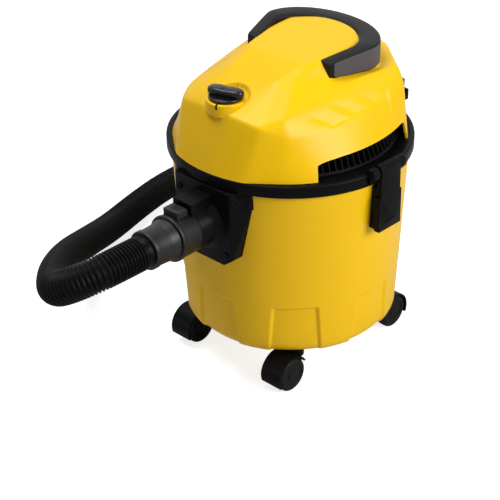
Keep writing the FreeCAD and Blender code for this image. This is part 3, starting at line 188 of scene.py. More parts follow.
class Form:
    """Gathers grids and prisms of points in millimetres, and makes one mesh piece of them."""

    def __init__(self):
        self.points, self.faces, self.count = [], [], 0

    def take(self, points, faces):
        """Adds points and the faces between them, numbered from these points' first."""
        self.points.append(np.asarray(points, float).reshape(-1, 3))
        self.faces.extend([[int(i) + self.count for i in face] for face in faces])
        self.count += len(self.points[-1])
        return self

    def grid(self, points, wrap=True, close=False):
        """A grid of rows and columns; wrap joins last column to first, close the last row."""
        rows, columns = points.shape[:2]
        number = np.arange(rows * columns).reshape(rows, columns)
        a, b = (number, np.roll(number, -1, 0)) if close else (number[:-1], number[1:])
        if wrap:
            quads = np.stack([a, np.roll(a, -1, 1), np.roll(b, -1, 1), b], -1)
        else:
            quads = np.stack([a[:, :-1], a[:, 1:], b[:, 1:], b[:, :-1]], -1)
        return self.take(points, quads.reshape(-1, 4))

    def capped(self, rings):
        """Rings joined up, with the first and the last one filled in."""
        self.grid(rings)
        count, first = rings.shape[1], self.count - rings.shape[0] * rings.shape[1]
        self.faces += [list(range(first, first + count))[::-1],
                       list(range(self.count - count, self.count))]
        return self

    def lathe(self, profile, centre=(0, 0, 0), axis="z", steps=96, close=False, wave=None):
        """Turns a profile of (radius, height) about an axis through the centre.

        A point is centre + radius (cos u, sin u) across the axis + height along it; wave may
        change the radii, as a function of the angle u and the height.
        """
        profile = np.asarray(profile, float)
        u = np.linspace(0, TAU, steps, endpoint=False)
        radius, height = np.broadcast_arrays(profile[:, :1], profile[:, 1:])
        radius, height = radius + 0 * u, height + 0 * u
        if wave is not None:
            radius = radius + wave(u[None, :] + 0 * radius, height)
        a, b = radius * np.cos(u), radius * np.sin(u)
        order = {"z": (a, b, height), "y": (a, height, b), "x": (height, a, b)}[axis]
        return self.grid(np.stack(order, -1) + np.asarray(centre, float), close=close)

    def prism(self, outline, low, high, plane="xy", edge=1.0, steps=3):
        """A slab of an outline, with both its rims rounded.

        The outline shrinks by edge (1 - sin w) along its normals while the height goes through
        edge (1 - cos w), for w from 0 to a quarter turn; the two caps are flat.
        """
        outline = np.asarray(outline, float)
        side = np.roll(outline, -1, 0) - np.roll(outline, 1, 0)
        normal = np.stack([side[:, 1], -side[:, 0]], -1)
        normal /= np.linalg.norm(normal, axis=1)[:, None] + 1e-12
        x, y = outline.T
        if (x * np.roll(y, -1) - y * np.roll(x, -1)).sum() < 0:
            normal = -normal
        w = np.linspace(0, math.pi / 2, steps + 1)
        inset = edge * (1 - np.sin(np.concatenate([w, w[::-1]])))
        rise = edge * (1 - np.cos(w))
        level = np.concatenate([low + rise, (high - rise)[::-1]])
        flat = outline[None] - normal[None] * inset[:, None, None]
        tall = np.broadcast_to(level[:, None], flat.shape[:2])
        a, b = flat[..., 0], flat[..., 1]
        order = {"xy": (a, b, tall), "xz": (a, tall, b), "yz": (tall, a, b)}[plane]
        return self.capped(np.stack(order, -1))

    def turned(self, angle, centre=(0, 0, 0)):
        """Turns everything gathered so far about an upright line, by degrees."""
        a = math.radians(angle)
        turn = np.array([[math.cos(a), math.sin(a), 0], [-math.sin(a), math.cos(a), 0], [0, 0, 1]])
        centre = np.asarray(centre, float)
        self.points = [(p - centre) @ turn + centre for p in self.points]
        return self

    def mirrored(self):
        """Adds the mirror image across x = 0 of everything gathered so far."""
        return self.take(np.vstack(self.points) * (-1, 1, 1), [face[::-1] for face in self.faces])

    def piece(self, name, body, look, *nodes, slot="black", crease=38):
        """Makes the mesh and settles it as a piece."""
        mesh = bpy.data.meshes.new(name)
        mesh.from_pydata(in_place(np.vstack(self.points)).tolist(), [], self.faces)
        return settle(mesh, name, body, look, *nodes, slot=slot, crease=crease)


def in_scene(name, data):
    """A new object in the scene, with its origin at 0."""
    made = bpy.data.objects.new(name, data)
    bpy.context.scene.collection.objects.link(made)
    return made


def settle(mesh, name, body, look, *nodes, slot="black", crease=38):
    """Welds a mesh, turns its faces outwards, marks its worn edges and hangs it on its body.

    The look is a finish's name. Edges sharper than the crease angle stay sharp.
    """
    welded(mesh)
    mesh.polygons.foreach_set("use_smooth", np.ones(len(mesh.polygons), bool))
    mesh.set_sharp_from_angle(angle=math.radians(crease))
    mark_edges(mesh)
    mesh.materials.clear()
    mesh.materials.append(finish(look))
    piece = in_scene(name, mesh)
    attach(piece, body)
    if nodes:
        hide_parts(*nodes)
    return piece


def worked(mesh, *jobs):
    """Does jobs on a mesh's points, edges and faces."""
    work = bmesh.new()
    work.from_mesh(mesh)
    for job in jobs:
        job(work)
    work.to_mesh(mesh)
    work.free()


def welded(mesh):
    """Joins points that lie on each other and turns all faces outwards."""
    worked(mesh, lambda w: bmesh.ops.remove_doubles(w, verts=w.verts, dist=2e-6),
           lambda w: bmesh.ops.dissolve_degenerate(w, dist=1e-7, edges=w.edges),
           lambda w: bmesh.ops.recalc_face_normals(w, faces=w.faces))


def mark_edges(mesh):
    """Stores how far each point stands proud of its neighbours, 0 on a flat and near 1 on an edge.

    It is the mean over a point's edges of the part of the edge's direction that lies along the
    point's normal.
    """
    count = len(mesh.vertices)
    place, normal = np.zeros(count * 3), np.zeros(count * 3)
    mesh.vertices.foreach_get("co", place)
    mesh.vertices.foreach_get("normal", normal)
    place, normal = place.reshape(-1, 3), normal.reshape(-1, 3)
    ends = np.zeros(len(mesh.edges) * 2, np.int32)
    mesh.edges.foreach_get("vertices", ends)
    a, b = ends.reshape(-1, 2).T
    along = place[a] - place[b]
    along /= np.linalg.norm(along, axis=1)[:, None] + 1e-12
    total = np.zeros(count)
    np.add.at(total, a, (normal[a] * along).sum(1))
    np.add.at(total, b, -(normal[b] * along).sum(1))
    share = np.bincount(ends, minlength=count)
    proud = np.clip(total / np.maximum(share, 1) * 2.2, 0, 1)
    mesh.attributes.new("proud", "FLOAT", "POINT").data.foreach_set(
        "value", proud.astype(np.float32))


def eased_copy(node, name, look, width, slot="black", segments=2):
    """A copy of a solid's mesh with its edges rounded over, by a width in millimetres.

    Its triangles are welded and flat ones joined, before a Bevel modifier rounds each edge that
    turns by more than 32 degrees.
    """
    mesh = frame["nodes"][node].data.copy()
    mesh.name = name
    worked(mesh, lambda w: bmesh.ops.remove_doubles(w, verts=w.verts, dist=4e-6),
           lambda w: bmesh.ops.dissolve_limit(w, angle_limit=math.radians(1.0), verts=w.verts,
                                              edges=w.edges))
    holder = in_scene(name + "_work", mesh)
    bevel = holder.modifiers.new("edges", "BEVEL")
    bevel.width = width * 0.001
    bevel.segments = segments
    bevel.limit_method = "ANGLE"
    bevel.angle_limit = math.radians(32)
    bpy.context.view_layer.update()
    view = bpy.context.evaluated_depsgraph_get()
    made = bpy.data.meshes.new_from_object(holder.evaluated_get(view))
    bpy.data.objects.remove(holder)
    body = frame["nodes"][node]["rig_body"]
    return settle(made, name, body, look, node, slot=slot, crease=20)


# ---------------------------------------------------------------------------------------------
# finishes


class Value:
    """A socket that gives numbers. Arithmetic on it adds Math nodes."""

    def __init__(self, finish, socket):
        self.finish, self.socket = finish, socket

    def _with(self, operation, first, second):
        return self.finish.add("ShaderNodeMath", {"operation": operation}, {0: first, 1: second})

    def __add__(self, other):
        return self._with("ADD", self, other)

    def __mul__(self, other):
        return self._with("MULTIPLY", self, other)

    def __rsub__(self, other):
        return self._with("SUBTRACT", other, self)

    __radd__, __rmul__ = __add__, __mul__


class Shading:
    """The nodes of a material or a world, under construction."""

    def __init__(self, owner):
        owner.use_nodes = True
        self.tree = owner.node_tree
        self.tree.nodes.clear()

    def add(self, kind, settings=None, sockets=None, output=0):
        """Adds a node: its settings first, then the values or links of its sockets."""
        node = self.tree.nodes.new(kind)
        for name, setting in (settings or {}).items():
            setattr(node, name, setting)
        for name, source in (sockets or {}).items():
            if isinstance(source, Value):
                self.tree.links.new(source.socket, node.inputs[name])
            else:
                node.inputs[name].default_value = source
        return Value(self, node.outputs[output])

    def end(self, kind, shader):
        """Joins the last shader to the output."""
        out = self.tree.nodes.new(kind)
        self.tree.links.new(shader.socket, out.inputs["Surface"])


class Finish(Shading):
    """A material under construction."""

    def __init__(self, name):
        self.material = bpy.data.materials.new(name)
        super().__init__(self.material)
        self.place = self.add("ShaderNodeTexCoord", output="Object")

    def noise(self, scale, detail=3.0, rough=0.55, place=None):
        return self.add("ShaderNodeTexNoise", None,
                        {"Vector": place or self.place, "Scale": scale, "Detail": detail,
                         "Roughness": rough})

    def mask(self, source, low, high):
        """0 below low and 1 above high, eased between."""
        return self.add("ShaderNodeMapRange", {"interpolation_type": "SMOOTHSTEP"},
                        {"Value": source, "From Min": low, "From Max": high})

    def span(self, source, low, high):
        """Spreads 0..1 over low..high."""
        return self.add("ShaderNodeMapRange", None,
                        {"Value": source, "To Min": low, "To Max": high})

    def blend(self, share, first, second):
        """A colour between two, by a share."""
        def paint(shade):
            return shade if isinstance(shade, Value) else (*shade[:3], 1.0)
        return self.add("ShaderNodeMix", {"data_type": "RGBA"},
                        {0: share, 6: paint(first), 7: paint(second)}, output=2)

    def height(self):
        return self.add("ShaderNodeSeparateXYZ", None, {"Vector": self.place}, output=2)

    def proud(self):
        """How far the surface stands proud, from the mesh."""
        return self.add("ShaderNodeAttribute", {"attribute_name": "proud"}, output="Fac")

    def bump(self, source, strength, distance, under=None):
        sockets = {"Height": source, "Strength": strength, "Distance": distance}
        if under is not None:
            sockets["Normal"] = under
        return self.add("ShaderNodeBump", None, sockets)

    def surface(self, **sockets):
        """The shader itself: sockets by their names, with underscores for spaces."""
        shader = self.add("ShaderNodeBsdfPrincipled", None,
                          {name.replace("_", " "): source for name, source in sockets.items()})
        self.end("ShaderNodeOutputMaterial", shader)
        return self.material


def tinted(colour, gain):
    return tuple(c * gain for c in colour)


def moulded(name, colour, rough=0.38, grain=0.25, grain_size=900.0, wear=0.35, dust=0.05,
            coat=0.0, mottle=0.06, low_dirt=0.0, shine=0.5):
    """A grained plastic moulding: faint flow clouds, fine grain, dust and rubbed edges."""
    f = Finish(name)
    cloud = f.noise(9.0, 2.0)
    shade = f.blend(cloud, tinted(colour, 1 - mottle), tinted(colour, 1 + mottle))
    specks = f.mask(f.noise(420.0, 2.0, 0.7), 0.62, 0.78) * f.mask(f.noise(26.0, 3.0), 0.42, 0.7)
    pale = tuple(0.7 * c + 0.3 * 0.22 for c in colour)
    shade = f.blend(specks * dust, shade, pale)
    rub = f.mask(f.proud(), 0.16, 0.6) * f.mask(f.noise(130.0, 4.0, 0.65), 0.38, 0.68)
    worn = tuple(min(1.0, c * 1.12 + 0.018) for c in colour)
    shade = f.blend(rub * wear, shade, worn)
    gloss = f.span(f.noise(34.0, 4.0, 0.6), rough - 0.05, rough + 0.07) + rub * 0.08
    if low_dirt > 0:
        foot = 1 - f.mask(f.height() + f.noise(46.0, 3.0) * 0.03, 0.055, 0.105)
        foot = foot * f.mask(f.noise(75.0, 5.0, 0.7), 0.34, 0.72) * low_dirt
        shade = f.blend(foot, shade, (0.19, 0.15, 0.10))
        gloss = gloss + foot * 0.25
    fine = f.add("ShaderNodeTexVoronoi", {"feature": "F1"},
                 {"Vector": f.place, "Scale": grain_size, "Randomness": 0.9})
    coarse = f.noise(60.0, 2.0)
    normal = f.bump(coarse, 0.12, 0.0006, f.bump(fine, grain, 0.00012))
    return f.surface(Base_Color=shade, Roughness=gloss, Normal=normal, Coat_Weight=coat,
                     Coat_Roughness=0.12, Specular_IOR_Level=shine)


def rubbery(name, colour, rough):
    """Rubber: dull, slightly chalky, with scuffs."""
    f = Finish(name)
    shade = f.blend(f.noise(30.0, 4.0), tinted(colour, 0.8), tinted(colour, 1.35))
    scuff = f.mask(f.noise(160.0, 5.0, 0.75), 0.56, 0.74)
    shade = f.blend(scuff * 0.2, shade, (0.05, 0.047, 0.044))
    rub = f.mask(f.proud(), 0.2, 0.7)
    shade = f.blend(rub * 0.25, shade, (0.035, 0.034, 0.033))
    normal = f.bump(f.noise(900.0, 3.0), 0.25, 0.0001)
    return f.surface(Base_Color=shade, Roughness=f.span(scuff, rough - 0.08, rough + 0.15),
                     Normal=normal, Specular_IOR_Level=0.12)


def metal(name, colour, rough):
    """Turned or pressed metal with fine scratches and dull spots."""
    f = Finish(name)
    spots = f.noise(140.0, 4.0, 0.7)
    shade = f.blend(spots, tinted(colour, 0.78), tinted(colour, 1.05))
    scratch = f.noise(1400.0, 2.0)
    return f.surface(Base_Color=shade, Metallic=1.0,
                     Roughness=f.span(spots, rough - 0.06, rough + 0.14),
                     Normal=f.bump(scratch, 0.15, 0.00005))


def foamy(name, colour):
    """Open-cell foam: a field of small pits, sunk by bump and painted darker as painted shade inside
    them.
    """
    f = Finish(name)
    cells = f.add("ShaderNodeTexVoronoi", {"feature": "F1"},
                  {"Vector": f.place, "Scale": 640.0, "Randomness": 1.0})
    pit_and_its_shade = f.mask(cells, 0.12, 0.55)
    # the pits are painted darker than the foam between them as painted shade in the pits; the same
    # mask sinks them by bump
    shade = f.blend(pit_and_its_shade, tinted(colour, 0.35), tinted(colour, 1.5))
    shade = f.blend(f.noise(18.0, 3.0) * 0.35, shade, (0.11, 0.095, 0.08))
    return f.surface(Base_Color=shade, Roughness=0.92,
                     Normal=f.bump(pit_and_its_shade, 0.8, 0.0006, f.bump(f.noise(55.0, 4.0), 0.4, 0.001)))


def cloth(name, colour):
    """Felted filter cloth: matted fibres, a little dust and soft creases."""
    f = Finish(name)
    stretched = f.add("ShaderNodeMapping", None, {"Vector": f.place, "Scale": (1.0, 1.0, 0.16)})
    fibres = f.noise(900.0, 4.0, 0.7, stretched)
    shade = f.blend(fibres, tinted(colour, 0.78), tinted(colour, 1.12))
    dust = f.mask(f.noise(14.0, 4.0, 0.6), 0.42, 0.75)
    shade = f.blend(dust * 0.4, shade, tuple(0.62 * c for c in colour))
    crease = f.noise(30.0, 5.0, 0.5)
    return f.surface(Base_Color=shade, Roughness=0.95, Sheen_Weight=0.25,
                     Normal=f.bump(fibres, 0.35, 0.0003, f.bump(crease, 0.35, 0.002)))


# each finish: how it is made, the paint's name or its colour, and the maker's other values
RECIPES = {
    "yellow_shell": (moulded, "yellow", 0.30, 0.20, dict(wear=0.22, mottle=0.03, shine=0.18)),
    "yellow_tank": (moulded, "yellow", 0.33, 0.24,
                    dict(wear=0.22, mottle=0.035, low_dirt=0.16, shine=0.2)),
    "black_moulding": (moulded, "black", 0.34, 0.26,
                       dict(dust=0.05, wear=0.25, mottle=0.2, shine=0.06)),
    "black_satin": (moulded, "black", 0.40, 0.3, dict(dust=0.06, wear=0.3, mottle=0.2, shine=0.35)),
    "black_gloss": (moulded, "black", 0.15, 0.05,
                    dict(dust=0.04, wear=0.15, coat=0.12, mottle=0.15, shine=0.3)),
    "black_dull": (moulded, "black", 0.55, 0.35,
                   dict(dust=0.08, wear=0.25, mottle=0.25, shine=0.08)),
    "handle_black": (moulded, "handle", 0.42, 0.4, 1500.0,
                     dict(dust=0.06, mottle=0.12, shine=0.1)),
    "grip_grey": (moulded, "grip", 0.5, 0.45, 1700.0, dict(dust=0.06, mottle=0.08, shine=0.2)),
    "hose_black": (moulded, "black", 0.30, 0.15, 1200.0,
                   dict(dust=0.05, wear=0.4, mottle=0.25, shine=0.05)),
    "tyre_rubber": (rubbery, "rubber", 0.5, {}),
    "seal_rubber": (rubbery, (0.03, 0.03, 0.032), 0.65, {}),
    "screw_steel": (metal, (0.42, 0.42, 0.43), 0.3, {}),
    "motor_steel": (metal, (0.5, 0.5, 0.51), 0.32, {}),
    "fan_alloy": (metal, (0.6, 0.61, 0.62), 0.36, {}),
    "foam": (foamy, (0.025, 0.023, 0.022), {}),
    "bag_cloth": (cloth, (0.30, 0.285, 0.29), {}),
    "collar_card": (cloth, (0.46, 0.42, 0.36), {}),
    "float_white": (moulded, (0.55, 0.55, 0.53), 0.4, 0.2, {}),
}
FINISHES = {}


def finish(name):
    """The finish of that name, made when it is first asked for."""
    if name not in FINISHES:
        maker, paint, *values, named = RECIPES[name]
        if isinstance(paint, str):
            paint = getattr(bpy.context.scene.vacuum_colours, paint)
        FINISHES[name] = maker(name, paint, *values, **named)
    return FINISHES[name]


NODE_FINISHES = {
    "flange_screws": "black_moulding", "inlet_stub": "black_moulding", "inlet_seal": "seal_rubber",
    "caster_sockets": "black_dull", "motor_housing": "black_dull", "motor_can": "motor_steel",
    "motor_bearings": "motor_steel", "motor_shaft": "motor_steel", "fan_impeller": "fan_alloy",
    "switch_body": "black_dull", "cover_screws": "screw_steel", "latch_pin_left": "screw_steel",
    "latch_pin_right": "screw_steel", "rim_seal": "seal_rubber", "float_valve": "float_white",
    "tank": "yellow_tank", "head_cover": "yellow_tank", "filter_bag": "bag_cloth",
    "bag_collar": "collar_card", "foam_filter": "foam",
}


def dress_solids():
    """Gives every solid that keeps its own shape its finish."""
    for name, node in frame["nodes"].items():
        steel = name.startswith(("caster_axle", "caster_stem"))
        kind = NODE_FINISHES.get(name, "screw_steel" if steel else "black_moulding")
        node.data.materials.clear()
        node.data.materials.append(finish(kind))


# ---------------------------------------------------------------------------------------------
# hose


def hose_line():
    """The points of the hose's own spline, in metres."""
    curve = bpy.data.curves.new("hose_route", "CURVE")
    curve.dimensions = "3D"
    curve.resolution_u = 40
    spline = curve.splines.new("NURBS")
    spline.points.add(len(HOSE_ROUTE) - 1)
    route = np.hstack([in_place(HOSE_ROUTE), np.ones((len(HOSE_ROUTE), 1))])
    spline.points.foreach_set("co", route.ravel())
    spline.order_u = 3
    spline.use_endpoint_u = True
    holder = bpy.data.objects.new("hose_route", curve)
    mesh = bpy.data.meshes.new_from_object(holder)
    line = np.array([v.co for v in mesh.vertices], float)
    bpy.data.objects.remove(holder)
    bpy.data.curves.remove(curve)
    bpy.data.meshes.remove(mesh)
    return line


def lengths(line):
    """How far along a line each of its points lies."""
    return np.concatenate([[0], np.cumsum(np.linalg.norm(np.diff(line, axis=0), axis=1))])


def along_line(line, stations):
    """Places and two sideways directions at lengths along a line of points."""
    run = lengths(line)

    def at(stations):
        return np.stack([np.interp(stations, run, line[:, k]) for k in range(3)], -1)

    near = 0.004
    forward = at(stations + near) - at(stations - near)
    forward /= np.linalg.norm(forward, axis=1)[:, None]
    side = np.cross(forward, (0.0, 0.0, 1.0))
    side /= np.linalg.norm(side, axis=1)[:, None]
    return at(stations), side, np.cross(side, forward)


def make_hose():
    """The ribbed hose: rings of points carried along its spline.

    A ring's radius is the valley's plus the rib's depth times a rounded bump, which is the fourth
    root of a half sine over just under half of each pitch and 0 between. The bore is a plain tube.
    """
    sizes = bpy.context.scene.vacuum_sizes
    line = hose_line()
    length = float(np.linalg.norm(np.diff(line, axis=0), axis=1).sum())
    crest, depth, bore = sizes.hose_width / 2, sizes.rib_depth, 0.0166
    plain, ribs = 0.008, sizes.hose_ribs  # the ends stay plain in the cuffs
    pitch = (length - 2 * plain) / ribs
    phase = np.array([0.0, 0.16, 0.32, 0.42, 0.62, 0.80, 0.91])
    bump = np.where((phase > 0.3) & (phase < 0.94),
                    np.clip(np.sin(math.pi * (phase - 0.3) / 0.64), 0, 1) ** 0.4, 0.0)
    stations = (plain + pitch * (np.arange(ribs)[:, None] + phase)).ravel()
    radii = np.tile(crest - depth + depth * bump, ribs)
    stations = np.concatenate([[0.0, plain * 0.9], stations, [length - plain * 0.9, length]])
    radii = np.concatenate([[crest - 0.0012] * 2, radii, [crest - 0.0012] * 2])
    u = np.linspace(0, TAU, 40, endpoint=False)[None, :, None]

    def rings(stations, radii):
        place, side, up = (part[:, None] for part in along_line(line, stations))
        return place + (side * np.cos(u) + up * np.sin(u)) * radii

    tube = np.concatenate([rings(stations, radii[:, None, None]),
                           rings(np.linspace(length, 0, 150), bore)]) * 1000 - (0, AXIS_Y, 0)
    hose = Form().grid(tube, close=True).piece(
        "ribbed_hose", "tank_assembly", "hose_black", "suction_hose", slot="hose", crease=60)
    return hose, line, length


class VACUUM_OT_hose(bpy.types.Operator):
    """Makes the ribbed hose, its cuffs and the connector with its release tab."""

    bl_idname = "vacuum.hose"
    bl_label = "Hose"

    def execute(self, context):
        hose, line, length = make_hose()
        fittings = make_fittings()
        return {"FINISHED"}


def make_fittings():
    """The connector, cuff, end cuff and release tab: turned profiles along the hose's ends."""
    z = INLET_Z
    plastic = "black_satin"
    ring, neck = -207.0, -176.6
    profile = soften([(17.5, neck + 18), (23.7, neck + 18), (23.7, neck - 0.4), (27.5, neck - 0.4),
                      (27.5, ring + 5), (28.6, ring + 4), (28.6, ring), (17.5, ring)],
                     [0.6, 0.8, 0.2, 0.8, 0.8, 1.0, 1.6, 0.5], steps=4)
    body = Form().lathe(profile, (0, 0, z), "y", 128, close=True)
    body.points = [press_tab_seat(body.points[0])]
    connector = body.piece("connector_body", "tank_assembly", plastic, "hose_connector")

    profile = soften([(16.6, ring), (25.5, ring), (23.4, ring - 11), (22.5, ring - 28.6),
                      (23.6, ring - 29.0), (23.6, -243), (16.6, -243)],
                     [0.3, 1.0, 6.0, 0.6, 0.6, 1.6, 0.6], steps=5)
    cuff = Form().lathe(profile, (0, 0, z), "y", 112, close=True).piece(
        "cuff_sleeve", "tank_assembly", plastic, "hose_cuff")

    end = soften([(16.6, 0), (19.9, 0), (20.6, 1.2), (20.6, 18.0), (19.4, 19.4), (19.2, 40),
                  (19.4, 60.5), (18.6, 62.0), (17.6, 62.0), (17.6, 8), (16.6, 8)],
                 [0.2, 0.6, 0.6, 1.0, 1.0, 3, 0.8, 0.6, 0.4, 0.4, 0.4], steps=4)
    end_cuff = Form().lathe(end, HOSE_ROUTE[-1], "x", 96, close=True).piece(
        "end_sleeve", "tank_assembly", plastic, "hose_end_cuff")

    tab = eased_copy("hose_release_tab", "press_tab", plastic, 0.7)
    return [connector, cuff, end_cuff, tab]


def press_tab_seat(points):
    """Sinks the connector's top under the release tab, to 20.2 above its middle."""
    x, y, z = points.T
    inside = (np.abs(x) < 12.1) & (y > -201.3) & (y < -182.5)
    return np.stack([x, y, np.where(inside, np.minimum(z, INLET_Z + 20.2), z)], -1)


# ---------------------------------------------------------------------------------------------
# tank


def drum_radius(z):
    """The drum's taper: 131.5 at its foot and 143.3 at its mouth."""
    return 131.5 + (143.3 - 131.5) * (z - TANK_FOOT) / (TANK_MOUTH - TANK_FOOT)


def bay_share(angle, height):
    """1 inside a bay and 0 outside: a bay widens downwards from 25.5 to 31 mm a side."""
    step, roof, edge = TAU / 8, 118.0, 1.5
    off = (angle + math.pi / 2 + step / 2) % step - step / 2
    across = np.abs(np.sin(off)) * 130.0
    half = 25.5 + (31.0 - 25.5) * (roof - height) / (roof - 44.0)
    return ((1 - ease(half - edge, half + edge, across))
            * (1 - ease(roof - 2 * edge, roof + 0.5, height)))


def make_tank():
    """The tank: its profile turned about the axis, with the bays pressed in round the foot.

    The radius is the taper's minus the bay's depth times bay_share, which is 1 in a bay.
    """
    depth = bpy.context.scene.vacuum_sizes.bay_depth * 1000
    r0 = drum_radius(TANK_FOOT)
    foot = soften([(0, TANK_FOOT), (r0, TANK_FOOT), (drum_radius(120), 120)], [0, 18, 0],
                  closed=False, steps=14)
    foot = finer(foot, 6.0)
    bays = np.array([[drum_radius(z), z] for z in np.concatenate([
        np.linspace(84, 112, 9), np.linspace(113.5, 120.5, 10), np.linspace(130, 268, 14)])])
    lip = soften([(drum_radius(271), 271), (drum_radius(273.4), 273.4), (145.4, 275), (145.4, 279),
                  (140.6, 279), (140.3, 272)], [0, 0.6, 1.2, 1.8, 1.2, 0], closed=False, steps=4)
    inner = np.array([[drum_radius(z) - 3.1, z] for z in np.linspace(265, 124, 10)])
    floor = soften([(drum_radius(112) - 6.1, 112), (r0 - 6.1, TANK_FOOT + 3.2),
                    (0, TANK_FOOT + 3.2)], [0, 14, 0], closed=False, steps=8)
    outside = np.vstack([foot[foot[:, 1] < 83], bays])
    profile = np.vstack([outside, lip, inner, floor])
    is_out = np.arange(len(profile)) < len(outside)

    def wave(angle, height):
        turn = ease(r0 - 20, r0 - 2, profile[:, :1])
        return -depth * bay_share(angle, height) * is_out[:, None] * turn

    Form().lathe(profile, steps=640, wave=wave).piece(
        "tank_drum", "tank_assembly", "yellow_tank", "tank", slot="yellow", crease=50)


class VACUUM_OT_tank(bpy.types.Operator):
    """Makes the tank and what is fixed to its outside."""

    bl_idname = "vacuum.tank"
    bl_label = "Tank"

    def execute(self, context):
        make_tank()
        eased_copy("inlet_flange", "inlet_plate", "black_moulding", 1.2)
        shoulder = soften([(44, -142), (48, -142), (61, -134), (61.6, -125), (44, -125)], 1.0)
        Form().prism(shoulder, 252.6, 272.8, "xy", 0.8).mirrored().piece(
            "plate_shoulders", "tank_assembly", "black_moulding")
        for side in ("left", "right"):
            eased_copy(f"latch_catch_{side}", f"catch_plate_{side}", "black_moulding", 0.6)
        return {"FINISHED"}


# ---------------------------------------------------------------------------------------------
# head


def head_rings():
    """The cover's form as rings of corners, front to back on the right half.

    Each ring gives the middle of the front, the front corner, the shoulder corner, a point on
    the side, the rear corner, the back corner and the middle of the back.
    """
    foot = [(0, -FRONT, DECK), (55, 10 - FRONT, DECK), (90, -109.5, DECK), (140, -8, DECK),
            (116, 81, DECK), (54.5, REAR - 11, DECK), (0, REAR, DECK)]
    shoulder = [(0, -126, 356.5), (62, -118, 350), (83.5, -95.5, 340), (109, -4, 343.5),
                (107, 82, 354), (50, 127, 360), (0, 134, 362)]
    crease = [(0, -122.5, 359.5), (61, -114.5, 353), (75.6, -92, 356.8), (84, -12, 370.5),
              (98, 79, 375.5), (48, 119, 376), (0, 127, 376)]
    top = [(0, -66, 380), (35, -63.5, 382), (51, -44, 383.0), (68, 2, 374.5), (84, 62, 374.5),
           (52, 103, 378), (0, 115, 379)]
    lid = [(0, -30), (39, -26), (47, -18), (55.5, 20), (54, 62), (30, 81), (0, 87)]
    lid = [(x, y, PAD + PAD_RISE * (y + 30)) for x, y in lid]
    return [np.array(r, float) for r in (foot, shoulder, crease, top, lid)]


def arc_through(a, b, c, t):
    """Points of the circle through three points, at shares of the angle from a to c."""
    ab, ac = b - a, c - a
    normal = np.cross(ab, ac)
    size = normal @ normal
    centre = a + (np.cross(normal, ab) * (ac @ ac) + np.cross(ac, normal) * (ab @ ab)) / (2 * size)
    first = a - centre
    radius = np.linalg.norm(first)
    first /= radius
    normal /= math.sqrt(size)
    second = np.cross(normal, first)

    def angle(p):
        return math.atan2((p - centre) @ second, (p - centre) @ first) % TAU

    turn = angle(c) * np.asarray(t)[:, None]
    return centre + radius * (np.cos(turn) * first + np.sin(turn) * second)


EDGE_MM = (56, 45, 178, 82, 56)  # about how long each edge of the right half is


def ring_table(ring):
    """A whole ring as one table of points about a millimetre apart, from the middle of the front."""
    flip = (-1, 1, 1)
    share = [np.arange(n) / n for n in EDGE_MM]

    def line(a, b, t):
        return a + (b - a) * t[:, None]

    right = np.vstack([
        arc_through(ring[1] * flip, ring[0], ring[1], 0.5 + share[0] / 2),
        line(ring[1], ring[2], share[1]),
        arc_through(ring[2], ring[3], ring[4], share[2]),
        line(ring[4], ring[5], share[3]),
        arc_through(ring[5], ring[6], ring[5] * flip, share[4] / 2),
    ])
    left = (right[1:] * flip)[::-1]
    return np.vstack([right, ring[6:7], left])


def blurred(table, width, axis=0, wrap=True):
    """A running mean of a table with weights exp(-x^2 / 2w^2).

    The table is wrapped round, or mirrored through its two ends.
    """
    reach = int(3 * width + 1)
    x = np.arange(-reach, reach + 1)
    weight = np.exp(-x ** 2 / (2 * width ** 2))
    weight /= weight.sum()
    table = np.moveaxis(table, axis, 0)
    if wrap:
        padded = np.concatenate([table[-reach:], table, table[:reach]])
    else:
        padded = np.concatenate([2 * table[:1] - table[reach:0:-1], table,
                                 2 * table[-1:] - table[-2:-reach - 2:-1]])
    made = sum(w * padded[i:i + len(table)] for i, w in enumerate(weight))
    return np.moveaxis(made, 0, axis)


# the upper edge of the cut-out in each side, as (y, z)
VENT_EDGE = [(-79.8, DECK), (-79.2, 296.0), (-78.2, 300.0), (-76.2, 303.2), (-73.2, 305.4),
             (-69.0, 306.9), (-62.0, 308.3), (-41.0, 309.8), (13.0, 311.5), (60.0, 313.0),
             (66.0, 312.2), (69.5, 309.5), (74.0, DECK)]
# the steps in the cover's sides as (y, z): each a front line and a back line, from top to bottom
SIDE_STEPS = [(((-66.1, 353.9), (-38.1, 338.1)), ((-33.9, 359.0), (-3.8, 342.5))),
              (((-33.9, 359.0), (-3.8, 342.5)), ((-2.9, 362.1), (26.5, 346.7))),
              (((-2.9, 362.1), (26.5, 346.7)), ((27.0, 363.0), (42.0, 351.0))),
              (((44.3, 359.7), (44.1, 330.6)), ((53.3, 359.7), (50.1, 330.6)))]
STEP_EDGE = 1.5  # half the width of a step's front edge


def spaced_runs(*runs):
    """Numbers from a list of (start, end, step) runs."""
    return np.unique(np.round(np.concatenate([np.arange(a, b, s) for a, b, s in runs]), 4))


